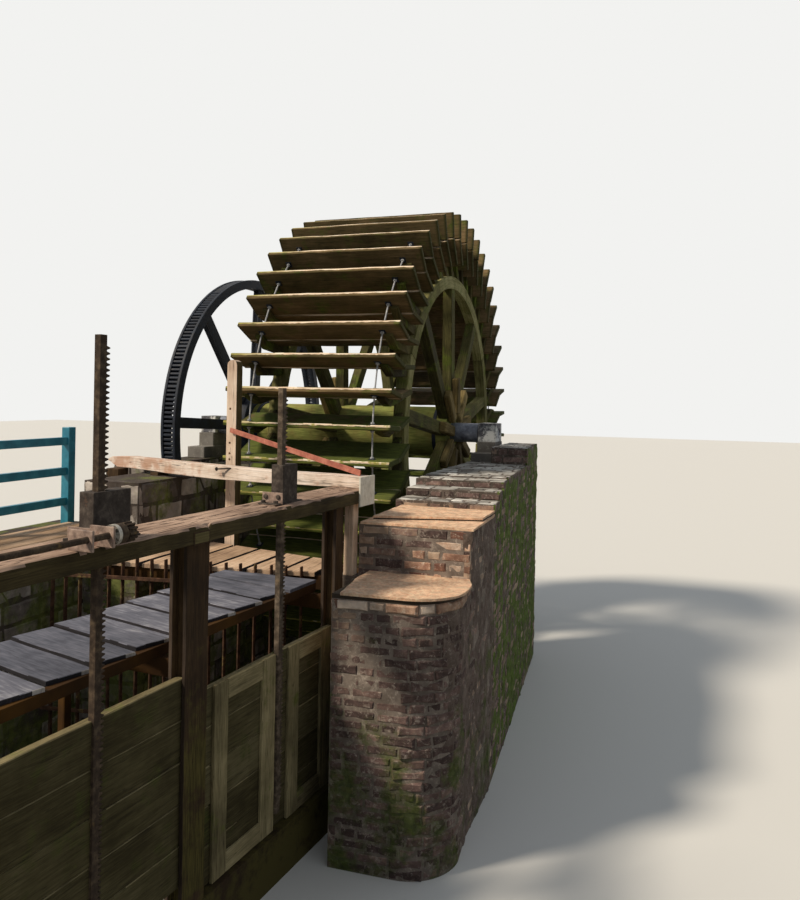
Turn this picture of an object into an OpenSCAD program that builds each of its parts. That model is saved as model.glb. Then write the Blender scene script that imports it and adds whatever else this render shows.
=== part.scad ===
// Water wheel with a wooden sluice, two rack-driven gates and brick piers.
// Origin: on the ground under the middle of the right-hand bearing.
// +X along the wheel's axle to the right, +Y downstream past the wheel, +Z up.

/* [Wheel] */
// Radius to the tips of the paddles
wheel_r = 2500; // [2000:10:2550]
// Length of a paddle, along the axle
wheel_w = 1660; // [1200:10:1700]
// Number of paddles
paddle_n = 48; // [32:1:60]
// Depth of a paddle, from its tip towards the axle
paddle_deep = 580; // [400:10:650]
// Thickness of a paddle board
paddle_t = 45; // [25:1:60]
// Angle of the first paddle above the horizontal, on the upstream side
paddle_first = -4.6; // [-10:0.1:10]
// Height of the axle over the ground
axle_h = 2600; // [2570:10:3000]
// Radius of the wooden axle
axle_r = 290; // [200:5:300]
// Number of arms on each side of the wheel
arm_n = 9; // [4:1:12]
// Outer radius of the wheel's two rims
rim_r = 1800; // [1650:10:1850]
// Radial depth of a rim
rim_deep = 140; // [100:10:200]
// Angle by which the inner board of a paddle leans from the outer one
elbow = 20; // [0:1:25]
// Thickness of a rim along the axle
rim_t = 120; // [80:5:160]

/* [Gear ring] */
// Outer radius of the gear ring
gear_r = 1830; // [1200:10:2000]
// Width of the gear ring along the axle
gear_w = 176; // [120:2:240]
// Radial thickness of the gear ring
gear_t = 105; // [60:5:120]

/* [Sluice] */
// Angle of the sluice frame to the axis that runs downstream
sluice_turn = 5.2; // [0:0.1:8]
// Height of the top of the main beam
beam_top = 2327; // [2200:1:2500]
// Thickness of the main beam
beam_t = 92; // [70:1:140]
// Width of the main beam
beam_w = 305; // [285:5:340]
// Clear distance between two guide posts
bay = 1405; // [1300:5:1450]
// Height of a gate
gate_h = 1082; // [950:1:1150]
// Height to which the left gate stands raised
left_lift = 130; // [0:10:300]

/* [Masonry] */
// Height of the low front step of the pier
nose_top = 1760; // [1600:10:1800]
// Height of the middle step of the pier
front_top = 2100; // [2000:10:2150]
// Height of the back of the pier, beside the axle
back_top = 2300; // [2200:10:2350]
// Height of the block at the far end of the pier
end_top = 2475; // [2400:5:2500]
// Height of the wall between the wheel and the gear ring
left_wall_top = 2240; // [2200:5:2295]
// Height of the left bank
bank_top = 1720; // [1600:10:1800]

/* [Hidden] */

$fn = 64;
eps = 1;

// Wheel
wheel_x = -1165;                          // middle of the wheel on the axle line
step_a = 360 / paddle_n;
rim_in = rim_r - rim_deep;
rim_x = wheel_w / 2 - 100 - rim_t / 2;    // middle of a rim, from the wheel's middle
arm_first = 7.5;                          // angle of the first arm above the horizontal
arm_w = 140;
arm_t = 110;
stub_w = 118;                             // a block on the outer face of each arm at the hub
stub_t = 80;
stub_r0 = 195;
stub_r1 = 610;
board_gap = 8;
board_deep = 271;
inner_deep = paddle_deep - board_deep;
start_w = 80;                             // the starts carry the paddles on the rims
start_t = 60;
start_r = 2340;
elbow_r = wheel_r - board_deep - board_gap - 4;
rod_d = 16;
rod_r = 2370;
rod_x = 620;

// Axle ends
gear_x = -3060;                           // middle of the gear ring
gear_hub_r = 430;
gear_arm_n = 8;
gear_arm_first = 2.8;
axle_left = gear_x - 225;
axle_right = wheel_x + rim_x + arm_t / 2 - 10;
collar_r = 110;                           // thick part of an iron journal
journal_r = 55;                           // part that turns in the bearing
bearing_w = 210;
right_bearing_x = 0;
left_bearing_x = axle_left - 340;
bearing_down = 95;
bearing_up = 115;
bore_gap = 1;

// Pier outline, seen from above
pier_left = -130;
pier_right = 695;
pier_end_right = 475;
nose_left = -100;
nose_right = 765;
nose_y = -4370;
front_y = -3700;
steps_y = -2900;
back_y = -2100;
end_block_y = -600;
end_y = 430;

// Walls on the left
left_wall_x0 = -2765;
left_wall_x1 = -2215;
left_wall_y0 = -3430;
left_wall_y1 = 600;
gear_wall_x0 = left_bearing_x - 200;
gear_wall_x1 = left_bearing_x + 200;
gear_wall_y0 = -1700;
gear_wall_y1 = 600;
gear_wall_top = 2200;
bank_x0 = -3765;
bank_y0 = -6600;
bank_y1 = -2600;

// Ledge of the pier that carries the end post
ledge_x0 = -260;
ledge_y0 = -3760;
ledge_y1 = -3640;
ledge_top = 1715;

// Fence on the bank
fence_x = -3600;
fence_post = 90;
fence_h = 930;
fence_gap = 1050;
fence_bays = 3;
fence_y1 = -2680;

// Sluice frame, in its own axes: u to the right, v downstream
sluice_x = -115;
sluice_y = -3780;
guide_u0 = -182;                          // a guide post is two thin leaves on a web
guide_u1 = -70;
leaf_t = 23;
groove_deep = 45;
end_guide_w = 110;
mid_guide_w = 183;
right_guide_v = -180;
mid_guide_v = right_guide_v - bay - mid_guide_w;
left_guide_v = mid_guide_v - bay - end_guide_w;
end_post_u0 = -115;
end_post_v0 = 20;
end_post_w = 80;
end_post_d = 73;
beam_v0 = left_guide_v - 120;
beam_v1 = 230;
sill_top = 310;

// Gates: boards with a frame of stiles and rails on the side towards the drive
gate_bottom = 320;
gate_edge = 10;                           // room beside a gate, in its groove
gate_u0 = -153;
board_t = 33;
frame_t = 21;
rail_w = 112;
stiles = [[145, 125], [610, 140], [905, 125], [1315, 145]];
rack_u0 = gate_u0 + board_t;
rack_t = 36;
rack_w = 40;
rack_foot = 100;                          // from the gate's bottom to the rack's
tooth_pitch = 25;
tooth_h = 20;
rack_right_v = -865;
rack_left_v = -2370;
rack_right_top = 3038;
rack_left_top = 3250;
box_u0 = -145;
box_u1 = -60;
box_room = 8;
box_right = [-887, -720];
box_left = [-2419, -2190];
box_right_h = 240;
box_left_h = 226;
bracket_h = 70;
bracket_t = 8;
bracket_out = 63;
bracket_u0 = -200;
shaft_u = 45;
shaft_z = 2378;
shaft_r = 14;
shaft_gap = 0.1;
shaft_v0 = -3420;
collar_v = -2420;
collar_w = 60;
ratchet_w = 70;
ratchet_r = 45;
bearer_v = [-3380, -2560, -2440];         // plates that carry the shaft
bearer_plate_t = 12;

// Walkway beside the sluice, in the sluice frame's axes
deck_top = 1680;
plank_t = 22;
plank_gap = 9;
joist_h = 60;
joist_w = 50;
walk_u0 = -1055;
walk_u1 = -290;
walk_seam = -410;                         // last seam before the tapered plank, at the near edge
walk_pitch = 285;
walk_n = 10;
walk_skew = 130;                          // each plank is this much further on at its far end
walk_near_end = -60;
walk_far_end = -100;

// Platform before the wheel
plat_t = 33;
plat_x = -520;                            // right-hand edge
plat_pitch = 278;
plat_n = 6;
plat_front = -3600;                       // front and back edges at plat_x, and their slopes
plat_front_slope = 0.167;
plat_back = -3148;
plat_back_slope = -0.242;
bearer_h = 100;
bearer_w = 90;

// Trash rack, upright bars between the walkway and the platform
bar_x = -543;
bar_n = 17;
bar_pitch = 133;
bar_t = 12;
bar_deep = 35;
bar_top = 1720;
bar_rail = 28;
bar_rail_z = [500, 1545];
bar_y = -3650;

module frame_axes() {
    translate([sluice_x, sluice_y, 0]) rotate([0, 0, -sluice_turn]) children();
}

module on_axle(x) {
    translate([x, 0, axle_h]) rotate([0, 90, 0]) children();
}

// Turns a piece built on the upstream horizontal radius to an angle on the wheel
module at_angle(a) {
    translate([wheel_x, 0, axle_h]) rotate([-a, 0, 0]) children();
}

module slab(x0, x1, y0, y1, z0, z1) {
    translate([x0, y0, z0]) cube([x1 - x0, y1 - y0, z1 - z0]);
}

// Wheel

module axle() {
    color("#5d5a3c") on_axle(axle_left) cylinder(h = axle_right - axle_left, r = axle_r);
}

module axle_band(x) {
    on_axle(x) difference() {
        cylinder(h = 40, r = axle_r + 8);
        translate([0, 0, -eps]) cylinder(h = 40 + 2 * eps, r = axle_r);
    }
}

module axle_bands() {
    color("#2f3136") {
        axle_band(axle_left);
        axle_band(gear_x + 170);
        axle_band(wheel_x + rim_x - arm_t / 2 - 60);
    }
}

module journals() {
    color("#2f3440") {
        on_axle(axle_right) cylinder(h = -bearing_w / 2 - 15 - axle_right, r = collar_r);
        on_axle(-bearing_w / 2 - 15) cylinder(h = bearing_w + 5, r = journal_r);
        on_axle(left_bearing_x + bearing_w / 2 + 15)
            cylinder(h = axle_left - left_bearing_x - bearing_w / 2 - 15, r = collar_r);
        on_axle(left_bearing_x - bearing_w / 2 + 10) cylinder(h = bearing_w + 5, r = journal_r);
    }
}

// Arms of one side; a block on the outer face stiffens each of them at the hub
module arms(x, side) {
    outer = x + side * arm_t / 2;
    color("#5a5535") difference() {
        intersection() {
            translate([0, 0, axle_h]) union() {
                for (k = [0 : arm_n - 1]) rotate([-arm_first - k * 360 / arm_n, 0, 0]) {
                    translate([x - arm_t / 2, -rim_r, -arm_w / 2]) cube([arm_t, rim_r - axle_r + 15, arm_w]);
                    translate([outer + (side > 0 ? -5 : 5 - stub_t), -stub_r1, -stub_w / 2])
                        cube([stub_t, stub_r1 - stub_r0, stub_w]);
                }
            }
            on_axle(x - 2 * arm_t) cylinder(h = 4 * arm_t, r = rim_in);
        }
        on_axle(x - 2 * arm_t) cylinder(h = 2 * arm_t + (side > 0 ? arm_t / 2 - 5 : 2 * arm_t), r = axle_r);
    }
}

module right_arms() { arms(wheel_x + rim_x, 1); }

module left_arms() { arms(wheel_x - rim_x, -1); }

module rim(x) {
    color("#6a6440") on_axle(x - rim_t / 2) difference() {
        cylinder(h = rim_t, r = rim_r);
        translate([0, 0, -eps]) cylinder(h = rim_t + 2 * eps, r = rim_in);
    }
}

module right_rim() { rim(wheel_x + rim_x); }

module left_rim() { rim(wheel_x - rim_x); }

module paddles_outer() {
    color("#4b3a26") for (k = [0 : paddle_n - 1]) at_angle(paddle_first + k * step_a)
        translate([-wheel_w / 2, -wheel_r, -paddle_t / 2]) cube([wheel_w, board_deep, paddle_t]);
}

module paddles_inner() {
    color("#3c3a22") for (k = [0 : paddle_n - 1]) at_angle(paddle_first + k * step_a)
        translate([-wheel_w / 2, -elbow_r, 0]) rotate([elbow, 0, 0])
            translate([0, 0, -paddle_t / 2]) cube([wheel_w, inner_deep, paddle_t]);
}

// A start is a knee that stands on the rim and follows both boards of a paddle
module paddle_starts() {
    h = paddle_t / 2;
    root = [elbow_r - inner_deep * cos(elbow) - h * sin(elbow), inner_deep * sin(elbow) - h * cos(elbow)];
    color("#55502f") difference() {
        for (k = [0 : paddle_n - 1], s = [-1, 1]) at_angle(paddle_first + k * step_a)
            translate([s * rim_x + start_w / 2, 0, 0]) rotate([90, 0, -90]) linear_extrude(start_w)
                polygon([[start_r, -h], [elbow_r - h * tan(elbow / 2), -h], root,
                         [rim_in, 175], [rim_in, 45], [2150, -h - start_t], [start_r, -h - start_t / 2]]);
        on_axle(wheel_x - wheel_w / 2) cylinder(h = wheel_w, r = rim_r + 0.1, $fn = 180);
    }
}

module tie_rods() {
    half = step_a / 2;
    mid_r = rod_r * cos(half);
    len = 2 * rod_r * sin(half) - paddle_t / cos(half) - rod_d * tan(half) - 0.4;
    color("#3a3b3d") for (k = [0 : paddle_n - 1], s = [-1, 1])
        at_angle(paddle_first + (k + 0.5) * step_a)
            translate([s * rod_x, -mid_r, -len / 2]) cylinder(h = len, d = rod_d, $fn = 8);
}

// Two rails with a flange inside each; every tenth rung joins them
module gear_ring() {
    rail = 30;
    flange = 12;
    gear_in = gear_r - gear_t;
    color("#23262e") {
        for (side = [-1, 1]) on_axle(gear_x + side * (gear_w - rail) / 2 - rail / 2) difference() {
            cylinder(h = rail, r = gear_r);
            translate([0, 0, -eps]) cylinder(h = rail + 2 * eps, r = gear_in);
        }
        for (side = [-1, 1]) on_axle(gear_x + side * (gear_w / 2 - rail - 17) - 20) difference() {
            cylinder(h = 40, r = gear_in + flange);
            translate([0, 0, -eps]) cylinder(h = 40 + 2 * eps, r = gear_in);
        }
        for (k = [0 : 23]) translate([gear_x, 0, axle_h]) rotate([-k * 15, 0, 0])
            translate([-gear_w / 2 + rail / 2, -gear_r + 6, -14]) cube([gear_w - rail, gear_t - 10, 28]);
    }
}

module gear_arms() {
    w = 118;
    t = 20;
    gap = 44;
    color("#1f2228") intersection() {
        translate([gear_x, 0, axle_h]) union() {
            for (k = [0 : gear_arm_n - 1], s = [-1, 1]) rotate([-gear_arm_first - k * 360 / gear_arm_n, 0, 0])
                translate([s * (gap + t) / 2 - t / 2, -gear_r, -w / 2]) cube([t, gear_r, w]);
        }
        on_axle(gear_x - gear_w / 2) difference() {
            cylinder(h = gear_w, r = gear_r - gear_t, $fn = 180);
            translate([0, 0, -eps]) cylinder(h = gear_w + 2 * eps, r = gear_hub_r, $fn = 180);
        }
    }
}

module gear_hub() {
    w = gear_w + 40;
    color("#1f2228") on_axle(gear_x - w / 2) difference() {
        cylinder(h = w, r = gear_hub_r);
        translate([0, 0, -eps]) cylinder(h = w + 2 * eps, r = axle_r);
    }
}

// Gates

module gate(v0, v1, z0) {
    w = v1 - v0;
    color("#6b6450") frame_axes() translate([gate_u0, v0, z0]) {
        cube([board_t, w, gate_h]);
        for (s = stiles) translate([board_t, s[0], 0]) cube([frame_t, s[1], gate_h]);
        for (z = [0, gate_h - rail_w], k = [0, 2]) translate([board_t, stiles[k][0], z])
            cube([frame_t, stiles[k + 1][0] - stiles[k][0], rail_w]);
    }
}

module gate_right() {
    gate(mid_guide_v + mid_guide_w - groove_deep + gate_edge,
         right_guide_v + groove_deep - gate_edge, gate_bottom);
}

module gate_left() {
    gate(left_guide_v + end_guide_w - groove_deep + gate_edge,
         mid_guide_v + groove_deep - gate_edge, gate_bottom + left_lift);
}

// Flat iron bar with teeth along its downstream edge
module rack(v0, z0, z1) {
    teeth = floor((z1 - z0 - 120) / tooth_pitch);
    outline = concat(
        [[0, 0], [rack_w, 0]],
        [for (k = [0 : teeth - 1], p = [[0, 0.1], [1, 0.35], [1, 0.6], [0, 0.85]])
            [rack_w + p[0] * tooth_h, 80 + (k + p[1]) * tooth_pitch]],
        [[rack_w, z1 - z0], [0, z1 - z0]]
    );
    color("#3b3230") frame_axes() translate([rack_u0, v0, z0]) rotate([90, 0, 90])
        linear_extrude(height = rack_t) polygon(outline);
}

module rack_right() { rack(rack_right_v, gate_bottom + rack_foot, rack_right_top); }

module rack_left() { rack(rack_left_v, gate_bottom + left_lift + rack_foot, rack_left_top); }

// Shaft along the beam that raises the left gate, with its collar and ratchet wheel
module drive_shaft() {
    teeth = 12;
    tooth_w = 10;
    color("#26282c") frame_axes() translate([shaft_u, 0, shaft_z]) rotate([-90, 0, 0]) {
        translate([0, 0, shaft_v0])
            cylinder(h = collar_v + collar_w + ratchet_w - shaft_v0, r = shaft_r);
        translate([0, 0, collar_v]) cylinder(h = collar_w, r = ratchet_r);
        translate([0, 0, collar_v + collar_w + 8]) linear_extrude(height = ratchet_w - 20) union() {
            circle(r = ratchet_r - 10);
            for (k = [0 : teeth - 1]) rotate(k * 360 / teeth)
                translate([ratchet_r - 16, -tooth_w / 2]) square([16, tooth_w]);
        }
    }
}

// Masonry

module pier_nose() {
    round_r = 380;
    d = front_y - nose_y;
    w = nose_right - nose_left;
    color("#7a6558") translate([nose_left, nose_y, 0]) linear_extrude(height = nose_top)
        intersection() {
            square([w, d]);
            union() {
                square([w - round_r, d]);
                translate([0, round_r]) square([w, d - round_r]);
                translate([w - round_r, round_r]) circle(r = round_r);
            }
        }
}

function pier_edge(y) = y < -3000 ? pier_right
    : pier_right + (pier_end_right - pier_right) * (y + 3000) / (end_y + 3000);

module pier_block(y0, y1, top) {
    color("#85705f") linear_extrude(height = top)
        polygon([[pier_left, y0], [pier_edge(y0), y0], [pier_edge(y1), y1], [pier_left, y1]]);
}

module pier_front() {
    color("#85705f") {
        linear_extrude(height = front_top)
            polygon([[pier_left, front_y], [pier_right, front_y], [pier_right, -3000],
                     [pier_edge(steps_y), steps_y], [pier_left, steps_y]]);
        slab(ledge_x0, pier_left, ledge_y0, ledge_y1, 0, ledge_top);
    }
}

module pier_back() {
    tread = (back_y - steps_y) / 3;
    rise = (back_top - front_top) / 3;
    pier_block(back_y, end_block_y, back_top);
    for (k = [0 : 1])
        pier_block(steps_y + k * tread, steps_y + (k + 1) * tread, front_top + (k + 1) * rise);
    pier_block(steps_y + 2 * tread, back_y, back_top - 10);
    color("#85705f") difference() {
        linear_extrude(height = end_top)
            polygon([[pier_left, end_block_y], [pier_edge(end_block_y), end_block_y],
                     [pier_end_right, end_y], [pier_left, end_y]]);
        slab(pier_left - eps, 150, end_block_y - eps, end_y + eps, back_top, end_top + eps);
    }
}

module pedestal(x, z0) {
    z1 = axle_h - bearing_down;
    mid = z0 + (z1 - z0) * 0.45;
    slab(x - 120, x + 120, -420, 380, z0, mid);
    slab(x - 105, x + 105, -190, 190, mid, z1);
}

module bearing_pedestals() {
    color("#8d8577") {
        pedestal(right_bearing_x, back_top);
        pedestal(left_bearing_x, gear_wall_top);
    }
}

module bearing(x) {
    color("#55524e") difference() {
        slab(x - bearing_w / 2, x + bearing_w / 2, -150, 150, axle_h - bearing_down, axle_h + bearing_up);
        on_axle(x - bearing_w / 2 - eps) cylinder(h = bearing_w + 2 * eps, r = journal_r + bore_gap);
    }
}

module right_bearing() { bearing(right_bearing_x); }

module left_bearing() { bearing(left_bearing_x); }

module left_wall() {
    color("#4d4a38") slab(left_wall_x0, left_wall_x1, left_wall_y0, left_wall_y1, 0, left_wall_top);
}

module gear_wall() {
    color("#4d4a38") slab(gear_wall_x0, gear_wall_x1, gear_wall_y0, gear_wall_y1, 0, gear_wall_top);
}

module bank_wall() {
    color("#57523f") slab(bank_x0, left_wall_x0, bank_y0, bank_y1, 0, bank_top);
}

module boardwalk() {
    n = 4;
    w = 170;
    color("#a98b62") for (k = [0 : n - 1])
        slab(bank_x0 + 260 + k * (w + 12), bank_x0 + 260 + k * (w + 12) + w, bank_y0,
             bank_y1 - 180, bank_top, bank_top + plank_t);
}

module fence_posts() {
    color("#2a6d80") for (k = [0 : fence_bays])
        slab(fence_x, fence_x + fence_post, fence_y1 - k * fence_gap - fence_post,
             fence_y1 - k * fence_gap, bank_top, bank_top + fence_h);
}

module fence_rails() {
    color("#2a6d80") for (k = [0 : fence_bays - 1], z = [180, 470, 760])
        slab(fence_x + 20, fence_x + 70, fence_y1 - (k + 1) * fence_gap,
             fence_y1 - k * fence_gap - fence_post, bank_top + z, bank_top + z + 75);
}

// Sluice frame

module rack_hole(v0, z0, z1) {
    slab(rack_u0 - box_room, rack_u0 + rack_t + box_room, v0 - box_room,
         v0 + rack_w + tooth_h + box_room, z0, z1);
}

module main_beam() {
    z0 = beam_top - beam_t;
    color("#8b775a") frame_axes() difference() {
        slab(-beam_w, 0, beam_v0, beam_v1, z0, beam_top);
        rack_hole(rack_right_v, z0 - eps, beam_top + eps);
        rack_hole(rack_left_v, z0 - eps, beam_top + eps);
    }
}

// Post of two leaves with a groove on the near side, the far side or both
module guide(v0, w, near, far) {
    u0 = guide_u0 + leaf_t;
    u1 = guide_u1 - leaf_t;
    difference() {
        slab(guide_u0, guide_u1, v0, v0 + w, 0, beam_top - beam_t);
        if (near) slab(u0, u1, v0 - eps, v0 + groove_deep, sill_top, beam_top);
        if (far) slab(u0, u1, v0 + w - groove_deep, v0 + w + eps, sill_top, beam_top);
    }
}

module sluice_posts() {
    color("#4a3d2b") frame_axes() {
        guide(right_guide_v, end_guide_w, true, false);
        guide(mid_guide_v, mid_guide_w, true, true);
        guide(left_guide_v, end_guide_w, false, true);
        slab(end_post_u0, end_post_u0 + end_post_w, end_post_v0, end_post_v0 + end_post_d,
             ledge_top, beam_top - beam_t);
    }
}

module gate_sill() {
    color("#4a4434") frame_axes() {
        slab(guide_u0, guide_u1, mid_guide_v + mid_guide_w, right_guide_v, 0, sill_top);
        slab(guide_u0, guide_u1, left_guide_v + end_guide_w, mid_guide_v, 0, sill_top);
    }
}

// Iron housing on the beam round a rack, with an angle bracket at either end
module gear_box(v, h, rack_v) {
    color("#4d4844") frame_axes() difference() {
        union() {
            slab(box_u0, box_u1, v[0], v[1], beam_top, beam_top + h);
            slab(bracket_u0, box_u1, v[0] - bracket_out, v[0], beam_top, beam_top + bracket_t);
            slab(bracket_u0, box_u1, v[0] - bracket_t, v[0], beam_top, beam_top + bracket_h);
            slab(box_u0, box_u1, v[1], v[1] + bracket_h, beam_top, beam_top + bracket_t);
        }
        rack_hole(rack_v, beam_top - eps, beam_top + h + eps);
    }
}

module gear_box_right() { gear_box(box_right, box_right_h, rack_right_v); }

module gear_box_left() { gear_box(box_left, box_left_h, rack_left_v); }

// Upright plates on the beam, bored for the drive shaft
module shaft_brackets() {
    color("#7d7366") frame_axes() for (v = bearer_v) difference() {
        slab(shaft_u - 105, shaft_u + 30, v, v + bearer_plate_t, beam_top, beam_top + 90);
        translate([shaft_u, v - eps, shaft_z]) rotate([-90, 0, 0])
            cylinder(h = bearer_plate_t + 2 * eps, r = shaft_r + shaft_gap);
    }
}

// Walkways

function front_at(x) = plat_front + (x - plat_x) * plat_front_slope;
function back_at(x) = plat_back + (x - plat_x) * plat_back_slope;

module deck_joists() {
    z1 = deck_top - plank_t;
    z2 = deck_top - plat_t;
    walk_v0 = walk_seam - walk_n * walk_pitch;
    far_u = walk_u0 + joist_w;
    color("#5c4526") {
        frame_axes() {
            slab(walk_u1 - joist_w, walk_u1, walk_v0, walk_near_end, z1 - joist_h, z1);
            slab(far_u, far_u + joist_w, walk_v0 + walk_skew, walk_far_end, z1 - joist_h, z1);
            for (v = [left_guide_v + 30, mid_guide_v + 60, right_guide_v + 30])
                slab(far_u, guide_u0, v, v + joist_w, z1 - joist_h - bearer_h, z1 - joist_h);
            for (v = [left_guide_v + 30, mid_guide_v + 60])
                slab(far_u, far_u + joist_w, v, v + joist_w, 0, z1 - joist_h - bearer_h);
        }
        translate([0, 0, z2 - bearer_h]) linear_extrude(height = bearer_h) {
            polygon([for (p = [[left_wall_x1, 15], [pier_left, 15], [pier_left, 15 + bearer_w],
                               [left_wall_x1, 15 + bearer_w]]) [p[0], front_at(p[0]) + p[1]]]);
            polygon([for (p = [[left_wall_x1, -bearer_w], [pier_left, -bearer_w], [pier_left, 10],
                               [left_wall_x1, 10]]) [p[0], back_at(p[0]) + p[1]]]);
        }
    }
}

module walkway_deck() {
    color("#8e8b8e") frame_axes() translate([0, 0, deck_top - plank_t])
        linear_extrude(height = plank_t) {
            for (k = [1 : walk_n]) polygon([
                [walk_u1, walk_seam - k * walk_pitch],
                [walk_u1, walk_seam - (k - 1) * walk_pitch - plank_gap],
                [walk_u0, walk_seam - (k - 1) * walk_pitch - plank_gap + walk_skew],
                [walk_u0, walk_seam - k * walk_pitch + walk_skew]]);
            polygon([[walk_u1, walk_seam], [walk_u1, walk_near_end], [walk_u0, walk_far_end],
                     [walk_u0, walk_seam + walk_skew]]);
        }
}

module platform_deck() {
    color("#b98d5f") translate([0, 0, deck_top - plat_t]) linear_extrude(height = plat_t)
        for (k = [0 : plat_n - 1]) {
            x1 = plat_x - k * plat_pitch;
            x0 = x1 - plat_pitch + 2 * plank_gap;
            polygon([[x0, front_at(x0)], [x1, front_at(x1)], [x1, back_at(x1)], [x0, back_at(x0)]]);
        }
}

module trash_rack() {
    x1 = bar_x - (bar_n - 1) * bar_pitch;
    len = (bar_x - x1 + bar_t) * sqrt(1 + plat_front_slope * plat_front_slope);
    color("#3a3029") {
        for (k = [0 : bar_n - 1])
            translate([bar_x - k * bar_pitch, bar_y - k * bar_pitch * plat_front_slope, 0])
                cube([bar_t, bar_deep, bar_top]);
        for (z = bar_rail_z)
            translate([x1, bar_y - (bar_n - 1) * bar_pitch * plat_front_slope, z])
                rotate([0, 0, atan(plat_front_slope)]) slab(0, len, -10, 4, 0, bar_rail);
    }
}

// Loose timbers

// Axes of the pale beam: along it to the left, from the lower front corner at its right end
pale_from = [-83, -3683];
pale_turn = 19.7;
pale_drop = 1.1;
pale_len = 3360;
pale_w = 120;
pale_h = 80;

// Its underside, notched to sit on the main beam, and its top, as places along it and heights
pale_under = [[0, -7.95], [380, -0.65], [380, -9], [1050, -25], [1600, -30], [2000, -27], [2400, -16], [2950, 2]];
pale_top = [[3000, 110], [2550, 99], [1860, 86], [1150, 76], [0, pale_h]];

module pale_axes() {
    translate([pale_from[0], pale_from[1], beam_top + 8]) rotate([0, 0, 180 - pale_turn])
        rotate([0, pale_drop, 0]) children();
}

module pale_beam() {
    tip = 170;
    color("#cdbb9b") difference() {
        pale_axes() rotate([90, 0, 0]) linear_extrude(height = pale_w)
            polygon(concat(pale_under, [[pale_len - tip, 2], [pale_len, 82], [pale_len - 0.6 * tip, 104]],
                           pale_top));
        frame_axes() slab(0, 200, 0, 300, beam_top, beam_top + 2 * pale_h);
    }
}

// Tall post behind the platform, the post under the pale beam's left end, and the packing
// that carries the beam on the wall
module timber_posts() {
    post_w = 98;
    x0 = -1748;
    y0 = -2838;
    z1 = 3300;
    run = (pale_from[0] - left_wall_x0 - 250) / cos(pale_turn);
    under = beam_top + 8 - run * sin(pale_drop) - 12;
    color("#bfa98c") {
        slab(x0, x0 + post_w, y0, y0 + post_w, deck_top - plat_t - bearer_h, z1 - post_w / 2);
        translate([x0 + post_w / 2, y0, z1 - post_w / 2]) rotate([-90, 0, 0])
            cylinder(h = post_w, r = post_w / 2);
    }
    color("#4a3d2b") {
        slab(-3100, -2950, -2750, -2602, bank_top, 2273);
        translate([left_wall_x0 + 250, pale_from[1] + run * sin(pale_turn), left_wall_top])
            rotate([0, 0, 180 - pale_turn]) slab(-120, -1, -pale_w, 0, 0, under - left_wall_top);
    }
}

module red_bar() {
    t = 10;
    h = 43;
    a = [-1697, -2849, 2659];
    b = [-165, -3600, 2413];
    run = norm([b[0] - a[0], b[1] - a[1]]);
    color("#a4563f") translate(a) rotate([0, 0, atan2(b[1] - a[1], b[0] - a[0])])
        rotate([0, atan2(a[2] - b[2], run), 0]) translate([0, -t, 0]) cube([norm(b - a), t, h]);
}

module sign_board() {
    color("#d8d4c4") frame_axes() slab(1, 13, 20, 250, 2210, 2420);
}

axle();
axle_bands();
journals();
right_arms();
left_arms();
right_rim();
left_rim();
paddles_outer();
paddles_inner();
paddle_starts();
tie_rods();
gear_ring();
gear_arms();
gear_hub();
gate_right();
rack_right();
gate_left();
rack_left();
drive_shaft();
pier_nose();
pier_front();
pier_back();
bearing_pedestals();
right_bearing();
left_bearing();
left_wall();
gear_wall();
bank_wall();
boardwalk();
fence_posts();
fence_rails();
main_beam();
sluice_posts();
gate_sill();
gear_box_right();
gear_box_left();
shaft_brackets();
deck_joists();
walkway_deck();
platform_deck();
trash_rack();
pale_beam();
timber_posts();
red_bar();
sign_board();
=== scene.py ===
# %% [markdown]
# # A water wheel with its sluice, gates and piers
#
# The solid model gives every part its place and its true size. This notebook gives the parts
# their looks: weathered oak, moss, old brick, cast iron and paint. Each step first says what
# the real thing is, then how it is made. All lengths are in metres, +X runs along the axle to
# the right, +Y runs downstream past the wheel and +Z points up.

# %% Load the solid model
import math
import random

import bmesh
import bpy
from mathutils import Matrix, Vector, noise


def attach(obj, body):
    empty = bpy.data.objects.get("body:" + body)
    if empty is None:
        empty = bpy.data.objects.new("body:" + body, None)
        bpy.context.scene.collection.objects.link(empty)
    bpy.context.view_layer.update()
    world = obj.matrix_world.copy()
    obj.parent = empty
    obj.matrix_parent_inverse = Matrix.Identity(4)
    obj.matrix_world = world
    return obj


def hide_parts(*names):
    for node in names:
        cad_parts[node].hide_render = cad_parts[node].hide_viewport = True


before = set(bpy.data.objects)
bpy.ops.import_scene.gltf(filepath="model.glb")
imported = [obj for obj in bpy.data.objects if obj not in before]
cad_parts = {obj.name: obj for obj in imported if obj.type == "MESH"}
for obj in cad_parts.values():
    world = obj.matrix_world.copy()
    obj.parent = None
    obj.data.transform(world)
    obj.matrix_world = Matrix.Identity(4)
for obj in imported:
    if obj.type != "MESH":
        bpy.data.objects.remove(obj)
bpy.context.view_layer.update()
random.seed(7)
noise.seed_set(7)                                     # otherwise noise_vector follows the clock
print("solid parts:", len(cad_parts))

# %% [markdown]
# ## The camera
#
# The photograph was taken from the right of the sluice, about half a metre over the main beam,
# with a normal lens held level and turned a little to the left. A level camera keeps upright
# edges upright, so the frame is shifted down instead of tilting the camera. The picture leans
# by one degree, which is a turn about the line of sight.

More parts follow.
